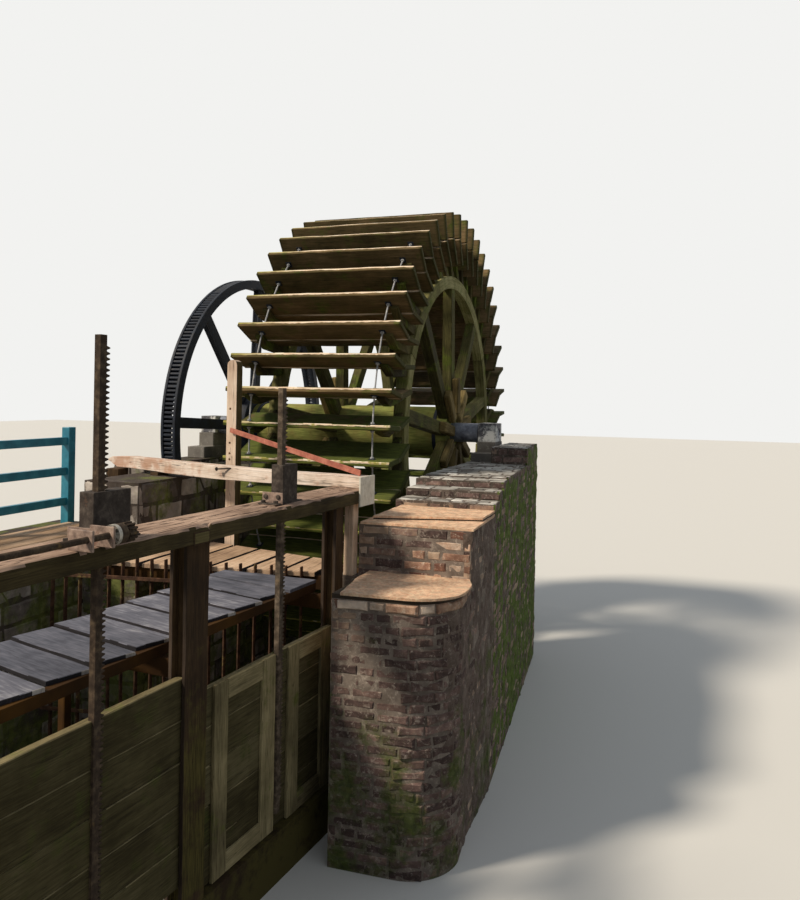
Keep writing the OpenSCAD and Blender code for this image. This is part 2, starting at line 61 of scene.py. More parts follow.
# %% Camera at the photograph's viewpoint
PHOTO_W, PHOTO_H = 800, 900
FOCAL_PX = 804
HORIZON_PX = 397.5
lens = bpy.data.cameras.new("camera")
lens.sensor_fit = "VERTICAL"
lens.sensor_height = 36
lens.lens = 36 * FOCAL_PX / PHOTO_H
lens.shift_y = (HORIZON_PX - PHOTO_H / 2) / PHOTO_H
lens.clip_end = 200
camera = bpy.data.objects.new("camera", lens)
bpy.context.collection.objects.link(camera)
camera.matrix_world = (Matrix.Translation((1.9925, -9.075, 2.9925))
                       @ Matrix.Rotation(math.radians(18.8), 4, "Z")
                       @ Matrix.Rotation(math.radians(90), 4, "X")
                       @ Matrix.Rotation(math.radians(1), 4, "Z"))
bpy.context.scene.camera = camera
print("lens", round(lens.lens, 1), "mm")

# %% [markdown]
# ## Small tools
#
# A material is a tree of nodes. One function adds a node, sets it up and links it, so that each
# finish below reads as a short list. Colours are written as they look on a screen, and turned
# into the linear values that the shader expects.

# %% Node and colour tools
def linear(code, alpha=1.0):
    """A hex colour as the linear values of a shader"""
    parts = [int(code[i:i + 2], 16) / 255 for i in (0, 2, 4)]
    return [c / 12.92 if c <= 0.04045 else ((c + 0.055) / 1.055) ** 2.4 for c in parts] + [alpha]


def add(tree, kind, inputs=None, stops=None, **settings):
    """Adds a node; inputs holds a value, a hex colour or another node's output for each socket"""
    made = tree.nodes.new("ShaderNode" + kind)
    for name, value in settings.items():
        setattr(made, name, value)
    for name, value in (inputs or {}).items():
        if isinstance(value, bpy.types.NodeSocket):
            tree.links.new(value, made.inputs[name])
        else:
            made.inputs[name].default_value = linear(value) if isinstance(value, str) else value
    if stops:
        bar = made.color_ramp.elements
        while len(bar) < len(stops):
            bar.new(1.0)
        for element, (place, colour) in zip(bar, stops):
            element.position = place
            element.color = linear(colour)
    return made


def new_material(name):
    """An empty material: its tree, its shader and the material itself"""
    material = bpy.data.materials.new(name)
    material.use_nodes = True
    material.node_tree.nodes.clear()
    tree = material.node_tree
    shader = add(tree, "BsdfPrincipled")
    add(tree, "OutputMaterial", {"Surface": shader.outputs[0]})
    return tree, shader, material


def calc(tree, operation, *values, **settings):
    """The result of a Math node"""
    return add(tree, "Math", dict(enumerate(values)), operation=operation, **settings).outputs[0]


def vector(tree, operation, *values):
    """The result of a VectorMath node"""
    return add(tree, "VectorMath", dict(enumerate(values)), operation=operation).outputs[0]


def parts_of(tree, place):
    """The X, Y and Z of a vector"""
    return add(tree, "SeparateXYZ", {0: place}).outputs


def distance(tree, value, mark):
    """How far a value lies from a mark, either way"""
    return calc(tree, "ABSOLUTE", calc(tree, "SUBTRACT", value, mark))


def remap(tree, value, low, high, start=0.0, end=1.0):
    """A value spread from one range to another and clamped to it"""
    return add(tree, "MapRange", {0: value, 1: low, 2: high, 3: start, 4: end}).outputs[0]


def clouds(tree, place, scale=1.0, detail=2.0, rough=0.5, bend=0.0):
    """Cloudy noise around 0.5"""
    return add(tree, "TexNoise", {"Vector": place, "Scale": scale, "Detail": detail,
                                  "Roughness": rough, "Distortion": bend}).outputs["Fac"]


def layer(tree, amount, under, over):
    """One colour laid over another by an amount"""
    return add(tree, "Mix", {0: amount, 6: under, 7: over}, data_type="RGBA").outputs[2]


def ramp(tree, level, shades, start, span):
    """Shades from dark to light, evenly spread over a span of levels"""
    last = len(shades) - 1
    stops = [(start + span * i / last, colour) for i, colour in enumerate(shades)]
    return add(tree, "ValToRGB", {0: level}, stops=stops).outputs[0]


def finish_tree(tree, shader, colour, height, strength, depth, **sockets):
    """Links the colour and the relief to the shader and sets its other sockets"""
    relief = add(tree, "Bump", {"Height": height, "Strength": strength, "Distance": depth})
    tree.links.new(colour, shader.inputs["Base Color"])
    tree.links.new(relief.outputs[0], shader.inputs["Normal"])
    for name, value in sockets.items():
        shader.inputs[name.replace("_", " ")].default_value = value

# %% [markdown]
# ## Weathered timber
#
# Almost everything here is oak or larch that has stood in sun and spray for years. Such wood
# turns grey-brown, its soft grain wears away so that the hard grain stands up in fine ribs, it
# splits along the grain, and moss grows where it stays wet. The pattern runs along each board,
# so it reads a UV map laid in metres along the grain; the axle has none, but lies along X, and
# reads Object coordinates.

# %% Timber finish
def timber(name, shades, along="UV", grain=0.006, moss=0.0, moss_shades=("3c4a1c", "6d7a2c"),
           splits=0.5, bump=0.0015, wet_below=None, tip=None):
    """Weathered wood; shades go from the dark grain to the light, grain is the rib width in metres"""
    tree, shader, material = new_material(name)
    space = add(tree, "TexCoord").outputs["Object"]
    grainwise = add(tree, "UVMap", uv_map="grain").outputs[0] if along == "UV" else space
    tone = add(tree, "Attribute", attribute_name="tone").outputs["Fac"]
    place = vector(tree, "ADD", grainwise, vector(tree, "MULTIPLY", tone, (37.0, 11.0, 5.0)))
    ribs_at = vector(tree, "MULTIPLY", place, (1.5, 0.16 / grain, 0.16 / grain))
    ribs = clouds(tree, ribs_at, 1.0, 7.0, 0.65, 0.5)
    fine_at = vector(tree, "MULTIPLY", place, (9.0, 0.9 / grain, 0.9 / grain))
    fine = clouds(tree, fine_at, 1.0, 4.0)
    mixed = calc(tree, "ADD", ribs, fine)
    level = calc(tree, "MULTIPLY_ADD", mixed, 0.34, -0.16)
    level = calc(tree, "MULTIPLY_ADD", clouds(tree, space, 2.7, 6.0, 0.6), 0.55, level)
    level = calc(tree, "MULTIPLY_ADD", tone, 0.16, level)
    wood = ramp(tree, level, shades, 0.28, 0.44)
    split = clouds(tree, vector(tree, "MULTIPLY", place, (0.9, 21.0, 21.0)), 1.0, 3.0)
    crack = remap(tree, distance(tree, split, 0.5), 0.0, 0.012, splits, 0.0)
    wood = layer(tree, crack, wood, "15110b")
    if moss > 0:
        growth = clouds(tree, space, 4.3, 8.0, 0.7)
        if wet_below:
            low = remap(tree, parts_of(tree, space)[2], wet_below - 0.6, wet_below, 0.3, 0.0)
            growth = calc(tree, "ADD", growth, low)
        cover = remap(tree, growth, 0.72 - 0.45 * moss, 0.86 - 0.45 * moss, 0.0, 0.85)
        wood = layer(tree, cover, wood, ramp(tree, fine, moss_shades, 0.35, 0.30))
    if tip:
        wood = tip(tree, space, wood, fine)
    height = calc(tree, "SUBTRACT", calc(tree, "MULTIPLY", mixed, 0.5), crack)
    finish_tree(tree, shader, wood, height, 0.9, bump, Roughness=0.85, IOR=1.4, Specular_IOR_Level=0.2)
    return material


# The boards of the wheel are dark and damp. A ragged pale band on the upper arris of each tip is a
# painted highlight of sunlight on bleached wood; towards the left and low down the band is olive,
# painted shade mixed with moss. A fainter pale line at the elbow is a painted highlight, and the
# ends of the boards are painted dark as shade.
def tip_light_and_shade(tree, space, wood, fine):
    """Painted highlight on bleached wood along the upper half of the paddle tips, where the radius is
    greatest
    """
    flat = vector(tree, "MULTIPLY", vector(tree, "ADD", space, (0, 0, -2.6)), (0, 1, 1))
    radius = add(tree, "VectorMath", {0: flat}, operation="LENGTH").outputs["Value"]
    ragged = clouds(tree, space, 15.0, 6.0)
    thick = parts_of(tree, add(tree, "UVMap", uv_map="grain").outputs[0])[1]
    # The upper half of each tip, the arris that faces the light, gets the painted highlight
    upper = remap(tree, calc(tree, "MULTIPLY_ADD", ragged, 0.026, thick), 1.715, 1.721)
    edge = calc(tree, "MULTIPLY", remap(tree, radius, 2.480, 2.487), upper)
    across, along, high = parts_of(tree, space)
    pale = add(tree, "ValToRGB", {0: fine}, stops=[(0.3, "d6ba9c"), (0.5, "fae2c6"), (0.7, "fff8e4")])
    # Towards the left and low down the tip turns olive instead of pale: painted shade mixed with moss
    sunny = remap(tree, across, -1.95, -1.50)
    dry = calc(tree, "SUBTRACT", remap(tree, high, 1.7, 3.3, 0.35, 0.75), ragged)
    tip_in_light = calc(tree, "MULTIPLY", sunny, remap(tree, dry, -0.06, 0.06))
    wood = layer(tree, edge, wood, layer(tree, tip_in_light, "aaa45c", pale.outputs[0]))
    # A pale line at the elbow's radius is a painted highlight of skylight on the inner board's ledge
    elbow_highlight = remap(tree, distance(tree, radius, 2.216), 0.005, 0.008, 1.0, 0.0)
    wood = layer(tree, elbow_highlight, wood, "e6d0b4")
    # The last two centimetres at each end of the boards are painted dark olive as shade
    end = remap(tree, distance(tree, across, -1.165), 0.800, 0.822, 0.0, 0.8)
    end = calc(tree, "SUBTRACT", end, edge, use_clamp=True)
    return layer(tree, end, wood, "34371a")


# Rust has run down the left third of the sawn beam and stained it orange.
def rust_stained(tree, space, wood, fine):
    """Soft orange stains on the left third of the pale beam"""
    left = remap(tree, parts_of(tree, space)[0], -1.6, -2.5, 0.0, 0.24)
    where = calc(tree, "ADD", clouds(tree, space, 9.0, 5.0), left)
    return layer(tree, remap(tree, where, 0.60, 0.80, 0.0, 0.55), wood, "a9683a")


RIM_OAK = timber("olive weathered rim oak", ("302d1b", "585534", "827e50", "b0aa7c"), moss=0.42)
ARM_OAK = timber("dark olive arm oak", ("211e11", "3e3b22", "5c5834", "858054"), moss=0.45)
# The starts are wet oak darkened further as painted shade under the paddles
SHADED_START_OAK = timber("wet start oak darkened as painted shade", ("17140b", "2c2715", "453f24", "655c38"), moss=0.5)
HUB_OAK = timber("split oak hub block", ("2b2515", "564a2c", "85744a", "b49d6b"), moss=0.2, splits=0.8)
PADDLE = timber("wet elm paddle board", ("302919", "52482d", "705e41", "927a59"), moss=0.40, wet_below=3.1,
                moss_shades=("35421a", "62702c"), tip=tip_light_and_shade)
AXLE_OAK = timber("wet oak axle", ("4b4523", "766f3e", "9e9858", "beb677"), along="X", moss=0.7,
                  moss_shades=("6a743a", "9aa058"))
BEAM_OAK = timber("sun-bleached beam top", ("6b5546", "9a8170", "bfa38e", "dcc4b0"), moss=0.05, splits=0.9)
BEAM_SIDE = timber("dark damp beam side", ("221b10", "3b3320", "544a30", "716543"), moss=0.25)
PATCH_OAK = timber("mended patch", ("322c1a", "4e472d", "675e3e", "80764f"), moss=0.15)
GUIDE_OAK = timber("dark tarred oak", ("1a130d", "33271c", "4a3a29", "655138"), moss=0.12, wet_below=1.8,
                   moss_shades=("37321a", "625a30"))
GATE_PANEL = timber("dark wet gate board", ("1e1a11", "39331f", "544d34", "6d6549"), moss=0.4,
                    moss_shades=("2c3216", "565a2c"))
GATE_OAK = timber("mossy gate board", ("373020", "655c43", "8e8260", "b6a780"), moss=0.35)
LEAF_EDGE = timber("dry end of a guide leaf", ("1b1612", "2e261f", "42372f", "584b40"))
JOIST = timber("ochre joist", ("261809", "4d3216", "74501f", "a5763a"), moss=0.15)
DECK_WARM = timber("sun-bleached deck board", ("6a5344", "a48970", "c8aa8e", "e0c8ae"), splits=0.6)
# Grey weathered boards, darker and bluer as painted shade; their lightest shade makes painted flecks of
# dappled sunlight
SHADED_DECK_GREY = timber("grey deck board with painted shade and sun flecks", ("3b3c45", "545660", "6f707b", "a3a3aa"), splits=0.3, moss=0.03,
                   grain=0.014, bump=0.0007)
# The sides of deck boards are painted dark as the shade in the gaps between them
DECK_SIDE_SHADE = timber("board side painted dark as shade", ("121114", "201f22", "2e2c30", "403d42"))
END_GRAIN = timber("worn end grain", ("6a6560", "8f8a86", "b3aeaa", "cfcac4"))
PALE = timber("sawn pale larch", ("a08c7c", "d8c6b6", "f0e3d8", "fdf8f2"), splits=0.7, grain=0.005,
              tip=rust_stained)
POST = timber("pale post", ("96806c", "cbb19b", "e9d3bd", "faecdc"), splits=0.6, grain=0.005)
POST_SIDE = timber("shaded side of the post", ("241f12", "413822", "5b5033", "746846"), moss=0.2)
END_POST = timber("pinkish-grey end post", ("886f5c", "bda28b", "dcc2a8", "f2dec6"), splits=0.5)
BOARDWALK = timber("tan boardwalk", ("665341", "8f755b", "b0947a", "c8ae94"), splits=0.5)
print("timber finishes:", len(bpy.data.materials))

# %% [markdown]
# ## Iron, paint and plaster
#
# The gear ring is cast iron under black bitumen paint, which dries slightly blue and satin. The
# racks and boxes are plain iron that has rusted to a matt dark brown, with brighter rust on the
# arrises. Rust is not a metal any more, so it has metallic 0 and a high roughness; a metal keeps
# the default IOR.

# %% Metal and paint finishes
def coated(name, shades, scale=14.0, bump=0.0006, roughness=(0.45, 0.75), metallic=0.0,
           stain=None, amount=0.4, shine=0.5):
    """A mottled surface: shades from dark to light, with a second colour in patches"""
    tree, shader, material = new_material(name)
    space = add(tree, "TexCoord").outputs["Object"]
    mottle = clouds(tree, space, scale, 9.0, 0.65)
    colour = ramp(tree, mottle, shades, 0.3, 0.4)
    if stain:
        where = clouds(tree, space, scale * 0.4, 8.0, 0.7)
        cover = remap(tree, where, 0.68 - 0.3 * amount, 0.78 - 0.3 * amount)
        colour = layer(tree, cover, colour, stain)
    tree.links.new(remap(tree, mottle, 0.3, 0.7, *roughness), shader.inputs["Roughness"])
    height = calc(tree, "MULTIPLY_ADD", clouds(tree, space, scale * 9, 5.0), 0.5, mottle)
    finish_tree(tree, shader, colour, height, 0.7, bump, Metallic=metallic, Specular_IOR_Level=shine)
    return material


BLACK_IRON = coated("black bitumen on cast iron", ("0d1017", "191f2a", "2a3340"), roughness=(0.5, 0.7),
                    shine=0.25)
JOURNAL_IRON = coated("oiled journal iron", ("575966", "7f8490", "a6aab4"), roughness=(0.4, 0.6),
                      stain="a5a7a6", amount=0.15, shine=0.3)
RUSTY_IRON = coated("dark rusted iron", ("2a2522", "463f3a", "696058"), scale=22, stain="6a5040",
                    amount=0.15, roughness=(0.75, 0.95), shine=0.12)
RACK_IRON = coated("greased rack iron", ("28211b", "443930", "6b5c4b"), scale=24, stain="766040",
                   amount=0.25, roughness=(0.75, 0.95), shine=0.12)
# A lighter copy of the rack iron, used for the right rack
LIGHTER_RACK = coated("lighter rack iron", ("332c26", "574c41", "867767"), scale=24, stain="7c6a52",
                   amount=0.2, roughness=(0.75, 0.95), shine=0.12)
RACK_RUST = coated("red-brown rusted bar", ("2b1e17", "4b362a", "6d503e"), scale=22, stain="857448",
                   amount=0.35, roughness=(0.75, 0.95), shine=0.15)
PLATE_IRON = coated("pink-brown rusted plate", ("5d4c43", "8d776a", "b19a8a"), scale=30, stain="6e3f26",
                    amount=0.35)
ROD_STEEL = coated("grey tie rod steel", ("74767b", "a4a5a8", "d0cfcc"), scale=40, roughness=(0.45, 0.7),
                   shine=0.3)
ZINC = coated("galvanised collar", ("77746e", "a39f96", "c9c4ba"), scale=40, roughness=(0.35, 0.6),
              metallic=0.3)
RED_OXIDE = coated("faded red oxide paint", ("834638", "a5604d", "bf7e6a"), scale=18, stain="6a3423",
                   amount=0.15, roughness=(0.6, 0.85))
TEAL = coated("teal gloss paint", ("1d6a80", "2a7f96", "3f94a8"), scale=9, roughness=(0.3, 0.5),
              stain="1c5566", amount=0.1)
SIGN = coated("off-white enamel board", ("b9b6a4", "d2cfc0", "e4e2d6"), scale=20, roughness=(0.4, 0.6),
              stain="8f8c78", amount=0.15)
LIMED_IRON = coated("limed bearing iron", ("2c2c31", "4d4d54", "727278"), scale=12, stain="e4e4e0",
                    amount=0.75, roughness=(0.6, 0.9), bump=0.002)

# %% [markdown]
# ## Old brickwork
#
# The piers are stock brick, about 215 by 65 mm, in courses of about 70 mm. Each brick has its
# own firing colour, from plum to buff, and its own share of lime bloom, soot and lichen. The
# bricks are real shapes, so that the joints catch the light; each one carries a random tone
# that picks its colour, and noise over the whole wall adds damp, lime and moss.

# %% Masonry finishes
def masonry(name, shades, lime=0.35, lime_colour="c9c3b6", moss=0.3, damp_top=1.3, scale=9.0,
            bump=0.004, moss_shades=("2c3a14", "566526"), soot=0.45, blotch=0.7):
    """Brick, stone or mortar; the tone of each block runs through the shades from dark to light"""
    tree, shader, material = new_material(name)
    space = add(tree, "TexCoord").outputs["Object"]
    tone = add(tree, "Attribute", attribute_name="tone").outputs["Fac"]
    mottle = clouds(tree, space, scale, 10.0, 0.7)
    level = calc(tree, "ADD", tone, calc(tree, "MULTIPLY_ADD", mottle, blotch, -0.5 * blotch))
    body = ramp(tree, level, shades, 0.05, 0.9)
    bloom = clouds(tree, space, scale * 1.6, 8.0, 0.75, 0.6)
    white = remap(tree, bloom, 0.74 - 0.4 * lime, 0.84 - 0.4 * lime, 0.0, 0.7)
    body = layer(tree, white, body, lime_colour)
    smoke = clouds(tree, space, scale * 0.35, 6.0)
    body = layer(tree, remap(tree, smoke, 0.42, 0.62, soot, 0.0), body, "2b241f")
    low = remap(tree, parts_of(tree, space)[2], damp_top - 0.8, damp_top + 0.9, 0.22, 0.0)
    growth = calc(tree, "ADD", clouds(tree, space, 3.1, 9.0, 0.7), low)
    cover = remap(tree, growth, 0.78 - 0.35 * moss, 0.9 - 0.35 * moss, 0.0, 0.8)
    body = layer(tree, cover, body, ramp(tree, mottle, moss_shades, 0.35, 0.30))
    height = calc(tree, "MULTIPLY_ADD", clouds(tree, space, scale * 9, 6.0, 0.6), 0.4, mottle)
    finish_tree(tree, shader, body, height, 0.9, bump, Roughness=0.92, Specular_IOR_Level=0.2)
    return material


BRICK = masonry("weathered stock brick", ("51423f", "6f5a55", "8b726a", "a88e7c", "c6ad96"), lime=0.52,
                lime_colour="bfb1a4", moss=0.2, scale=20, bump=0.009, blotch=1.1)
WARM_BRICK = masonry("tan brick", ("6f4f44", "a27c69", "cba88f", "ecd6c2"), lime=0.5, moss=0.0,
                     lime_colour="eadbc8", scale=22, bump=0.009, soot=0.4, blotch=1.3)
MORTAR = masonry("lime mortar", ("655a52", "83776d", "a2958a"), lime=0.55, lime_colour="bdb0a3", moss=0.25,
                 scale=16, bump=0.006, blotch=1.0)
SHADE_JOINT = masonry("raked joint painted dark as shade", ("2a251f", "403930", "574e42"), lime=0.05, moss=0.1)
WARM_TOP = masonry("brick dust and rubble", ("ad7c60", "e8b290", "ffdcb8", "fff4de"), lime=0.25,
                   lime_colour="fff0d8", moss=0.0, scale=46, bump=0.012, soot=0.25, blotch=1.5)
COAT = masonry("weathered lime coat", ("40362f", "665850", "84746a", "a39485"), lime=0.45, moss=0.22,
               damp_top=1.5, scale=20, bump=0.012, lime_colour="c4b7a8", blotch=1.1)
MOSSY_COAT = masonry("mossy lime coat", ("40362f", "615349", "7e6f62", "9a8b7d"), lime=0.3, moss=0.85,
                     damp_top=2.6, scale=14, bump=0.012, moss_shades=("31430f", "66802a"), blotch=1.0)
RUBBLE = masonry("mossy wall stone", ("68605a", "90867e", "b2a89f", "d2c8be"), lime=0.4, moss=0.42,
                 damp_top=2.1, moss_shades=("46521f", "7c8440"), scale=16, bump=0.012, lime_colour="b5aaa0",
                 soot=0.5)
RUBBLE_BED = masonry("old wall mortar", ("544b45", "766a63", "92867d"), lime=0.4, moss=0.45, damp_top=2.1,
                     moss_shades=("46521f", "7c8440"), scale=16, bump=0.012, lime_colour="a69c92", soot=0.5)
CAP_STONE = masonry("grey step stone", ("7e7a74", "aaa69f", "cac7c0", "e4e1da"), lime=0.42, moss=0.12,
                    scale=16, soot=0.35)
print("finishes so far:", len(bpy.data.materials))

# %% [markdown]
# ## Boards and how they are joined
#
# A board starts as a cube that is scaled, cut across its length and bevelled, and whose
# vertices wander a little, because no old board is straight. Every board gets a UV map in
# metres with its first axis along the grain. A few variants are made once; copies are then
# placed by matrices and joined into one piece, and each copy gets a random tone.

# %% Board, copy and piece makers
def lay_grain(bm, offset=0.0):
    """UV in metres with the first axis along X, the grain"""
    uv = bm.loops.layers.uv.verify()
    for face in bm.faces:
        n = face.normal
        for loop in face.loops:
            x, y, z = loop.vert.co
            if abs(n.x) > 0.7:
                loop[uv].uv = (0.02 * y + offset, z + 3 * y)
            else:
                loop[uv].uv = (x + offset, y if abs(n.z) > abs(n.y) else z + 1.7)


def everything(bm):
    """All the vertices, edges and faces of a bmesh"""
    return bm.verts[:] + bm.edges[:] + bm.faces[:]


def new_verts(made):
    """The vertices among the results of an operator"""
    return [g for g in made["geom"] if isinstance(g, bmesh.types.BMVert)]


def soften(bm, width, edges=None, segments=1):
    """Bevels the given edges, or every sharp one"""
    if edges is None:
        edges = [e for e in bm.edges if e.calc_face_angle(0) > 1.0]
    bmesh.ops.bevel(bm, geom=edges, offset=width, segments=segments, profile=0.5, affect="EDGES",
                    material=-1, clamp_overlap=True)


def block(length, width, high, cuts=0):
    """A cube of a given size, cut across its length"""
    bm = bmesh.new()
    bmesh.ops.create_cube(bm, size=1.0)
    bmesh.ops.scale(bm, vec=(length, width, high), verts=bm.verts)
    if cuts:
        along = [e for e in bm.edges if abs(e.verts[0].co.x - e.verts[1].co.x) > length / 2]
        bmesh.ops.subdivide_edges(bm, edges=along, cuts=cuts, use_grid_fill=True)
    return bm


def prism(corners, high):
    """An outline drawn out along Z"""
    bm = bmesh.new()
    face = bm.faces.new([bm.verts.new(c) for c in corners])
    made = bmesh.ops.extrude_face_region(bm, geom=[face])
    bmesh.ops.translate(bm, vec=(0, 0, high), verts=new_verts(made))
    bmesh.ops.recalc_face_normals(bm, faces=bm.faces)
    return bm


def finish_shape(bm, name):
    """A bmesh as a mesh whose UV map is called grain"""
    mesh = bpy.data.meshes.new(name)
    bm.to_mesh(mesh)
    bm.free()
    if mesh.uv_layers:
        mesh.uv_layers[0].name = "grain"
    return mesh


def board(length, width, thick, cuts=6, wear=0.002, arris=0.003, seed=0, ends=0.0):
    """A worn board along X, centred on the origin; ends splays its end grain a little"""
    bm = block(length, width, thick, cuts)
    if arris:
        soften(bm, arris)
    for v in bm.verts:
        spot = Vector((v.co.x * 5, v.co.y * 9, v.co.z * 9)) + Vector((seed * 7.3, seed * 3.1, 0))
        drift = noise.noise_vector(spot)
        bend = noise.noise_vector(Vector((v.co.x * 1.1 + seed * 5.7, 0, seed)))
        v.co += Vector((drift.x * ends, drift.y * wear + bend.y * wear, drift.z * wear + bend.z * wear))
    bm.normal_update()
    lay_grain(bm, seed * 1.37)
    return finish_shape(bm, "board")


def finish_facing(mesh, way, index=1, limit=0.7):
    """Gives the faces of a shape that look along a direction another of its piece's finishes"""
    for face in mesh.polygons:
        if face.normal.dot(Vector(way)) > limit:
            face.material_index = index
    return mesh


def variants(count, *size, **style):
    """Several boards of one size that differ in their wear"""
    return [board(*size, seed=k + 1, **style) for k in range(count)]


def assemble(name, stamps, materials, body, *stands_for, tones=None):
    """Joins copies of shapes, given as (shape, matrix) pairs, into one piece that rides on a body"""
    bm = bmesh.new()
    for shape, place in stamps:
        copy = shape.copy()
        copy.transform(place)
        bm.from_mesh(copy)
        bpy.data.meshes.remove(copy)
    for v in bm.verts:
        v.co.z = max(v.co.z, 0.0)                       # the lowest bricks stop at the floor
    mesh = bpy.data.meshes.new(name)
    bm.to_mesh(mesh)
    bm.free()
    values = []
    for k, (shape, place) in enumerate(stamps):
        values += [tones[k] if tones else random.random()] * len(shape.polygons)
    mesh.attributes.new("tone", "FLOAT", "FACE").data.foreach_set("value", values)
    return as_piece(name, mesh, materials, body, *stands_for)


def as_piece(name, mesh, materials, body, *stands_for):
    """A finished mesh as a piece of a body; it may stand for solid parts"""
    for material in materials if isinstance(materials, (list, tuple)) else [materials]:
        mesh.materials.append(material)
    piece = bpy.data.objects.new(name, mesh)
    bpy.context.collection.objects.link(piece)
    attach(piece, body)
    if stands_for:
        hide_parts(*stands_for)
    print(name, len(mesh.polygons), "faces")
    return piece


def at(x, y, z):
    """A move"""
    return Matrix.Translation((x, y, z))


def turn(degrees, axis):
    """A turn about an axis through the origin"""
    return Matrix.Rotation(math.radians(degrees), 4, axis)


def dress(node, material, arris=0.0):
    """Gives a solid part a finish, and where asked a small bevel on its welded edges"""
    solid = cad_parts[node]
    solid.data.materials.clear()
    solid.data.materials.append(material)
    if arris:
        weld = solid.modifiers.new("weld", "WELD")
        weld.merge_threshold = 0.0001
        bevel = solid.modifiers.new("bevel", "BEVEL")
        bevel.width = arris
        bevel.segments = 2
        bevel.limit_method = "ANGLE"
        bevel.angle_limit = math.radians(40)
    return solid


SLUICE = at(-0.115, -3.780, 0) @ turn(-5.2, "Z")      # axes of the sluice frame: u, v and z
print("axes of the sluice frame set")

# %% [markdown]
# ## Paddles
#
# Each of the 48 paddles is two boards: the outer one stands square on the wheel, the inner one
# leans back by 20 degrees. The outer edges are ragged from long use. Six variants are enough:
# the eye doesn't notice that the seventh board is the first again.

# %% Paddle boards
WHEEL_X, AXLE_Z, WHEEL_R, WHEEL_W = -1.165, 2.6, 2.5, 1.66
PADDLES, FIRST = 48, -4.6
PADDLE_STEP = 360 / PADDLES
OUTER_DEEP, INNER_DEEP, ELBOW_R, ELBOW = 0.271, 0.309, 2.217, 20
LEDGE = 0.007                                         # how far the inner board stands below the outer


def on_wheel(degrees, x=0.0, r=0.0, up=0.0):
    """A place on the wheel at an angle above the upstream horizontal; up is square to the radius"""
    return at(WHEEL_X, 0, AXLE_Z) @ turn(-degrees, "X") @ at(x, -r, up)


wear = dict(cuts=17, wear=0.004, arris=0.005, ends=0.004)
outer_shapes = variants(6, WHEEL_W, OUTER_DEEP, 0.045, **wear)
inner_shapes = variants(6, WHEEL_W, INNER_DEEP, 0.045, **wear)
OUTER_R = WHEEL_R - OUTER_DEEP / 2 - 0.003
assemble("outer_paddles", [(outer_shapes[5 * k % 6], on_wheel(FIRST + PADDLE_STEP * k, 0, OUTER_R))
                           for k in range(PADDLES)], PADDLE, "wheel", "paddles_outer")
assemble("inner_paddles", [(inner_shapes[(5 * k + 2) % 6], on_wheel(FIRST + PADDLE_STEP * k, 0, ELBOW_R)
                            @ turn(ELBOW, "X") @ at(0, INNER_DEEP / 2, -LEDGE))
                           for k in range(PADDLES)], PADDLE, "wheel", "paddles_inner")

# %% [markdown]
# ## Rims, arms and starts
#
# The two rims are built of curved segments, called felloes, that meet in butt joints halfway
# between the arms. A felloe is a square section spun through its share of the circle. The arms
# are straight balks from the axle to the rim, stiffened at the hub by a block on the outer
# face. The starts are knees that stand on the rim and follow both boards of a paddle.

# %% Felloes, arms and starts
RIM_OUT, RIM_IN, RIM_T, RIM_X = 1.80, 1.66, 0.12, 0.67
ARMS, ARM_FIRST, ARM_T = 9, 7.5, 0.11
HUB_R = 0.27                                          # where the arms begin
KNEE_R = 2.1                                          # the radius at which a knee is placed


def felloe(r0, r1, width, degrees, seed=0):
    """A curved segment about the X axis, from the upstream horizontal upwards"""
    bm = bmesh.new()
    corners = [(-width / 2, -r0, 0), (width / 2, -r0, 0), (width / 2, -r1, 0), (-width / 2, -r1, 0)]
    bm.faces.new([bm.verts.new(c) for c in corners])
    bmesh.ops.spin(bm, geom=bm.faces[:] + bm.edges[:] + bm.verts[:], cent=(0, 0, 0), axis=(1, 0, 0),
                   dvec=(0, 0, 0), angle=-math.radians(degrees), steps=7, use_duplicate=False)
    bmesh.ops.recalc_face_normals(bm, faces=bm.faces)
    soften(bm, 0.004)
    uv = bm.loops.layers.uv.verify()
    for face in bm.faces:
        for loop in face.loops:
            x, y, z = loop.vert.co
            r = math.hypot(y, z)
            loop[uv].uv = (math.atan2(z, -y) * r + seed, x if abs(face.normal.x) < 0.7 else r)
    return finish_shape(bm, "felloe")


share = 360 / ARMS
felloes = [felloe(RIM_IN, RIM_OUT, RIM_T, share - 0.25, seed=k) for k in range(3)]
arm_shapes = variants(4, RIM_IN - HUB_R, 0.14, ARM_T, cuts=6, wear=0.003, arris=0.007)
hub_blocks = variants(5, 0.415, 0.118, 0.075, cuts=3, wear=0.005, arris=0.012, ends=0.01)
radial = turn(90, "Z") @ turn(90, "X")                # a board along X turned to lie along the radius
blocks = []
for side, name in ((1, "right"), (-1, "left")):
    stamps = [(felloes[k % 3], on_wheel(ARM_FIRST + share * (k + 0.5), side * RIM_X)) for k in range(ARMS)]
    assemble(name + "_felloes", stamps, RIM_OAK, "wheel", name + "_rim")
    middle = (RIM_IN + HUB_R) / 2
    stamps = [(arm_shapes[k % 4], on_wheel(ARM_FIRST + share * k, side * RIM_X, middle) @ radial)
              for k in range(ARMS)]
    assemble(name + "_arm_balks", stamps, ARM_OAK, "wheel", name + "_arms")
    for k in range(ARMS):
        out = side * (RIM_X + ARM_T / 2 + 0.0375)
        askew = k % 3 - 1
        spot = on_wheel(ARM_FIRST + share * k, out, 0.40 + 0.02 * askew)
        blocks.append((hub_blocks[3 * k % 5], spot @ turn(1.5 * askew, "X") @ radial))
assemble("hub_blocks", blocks, HUB_OAK, "wheel")


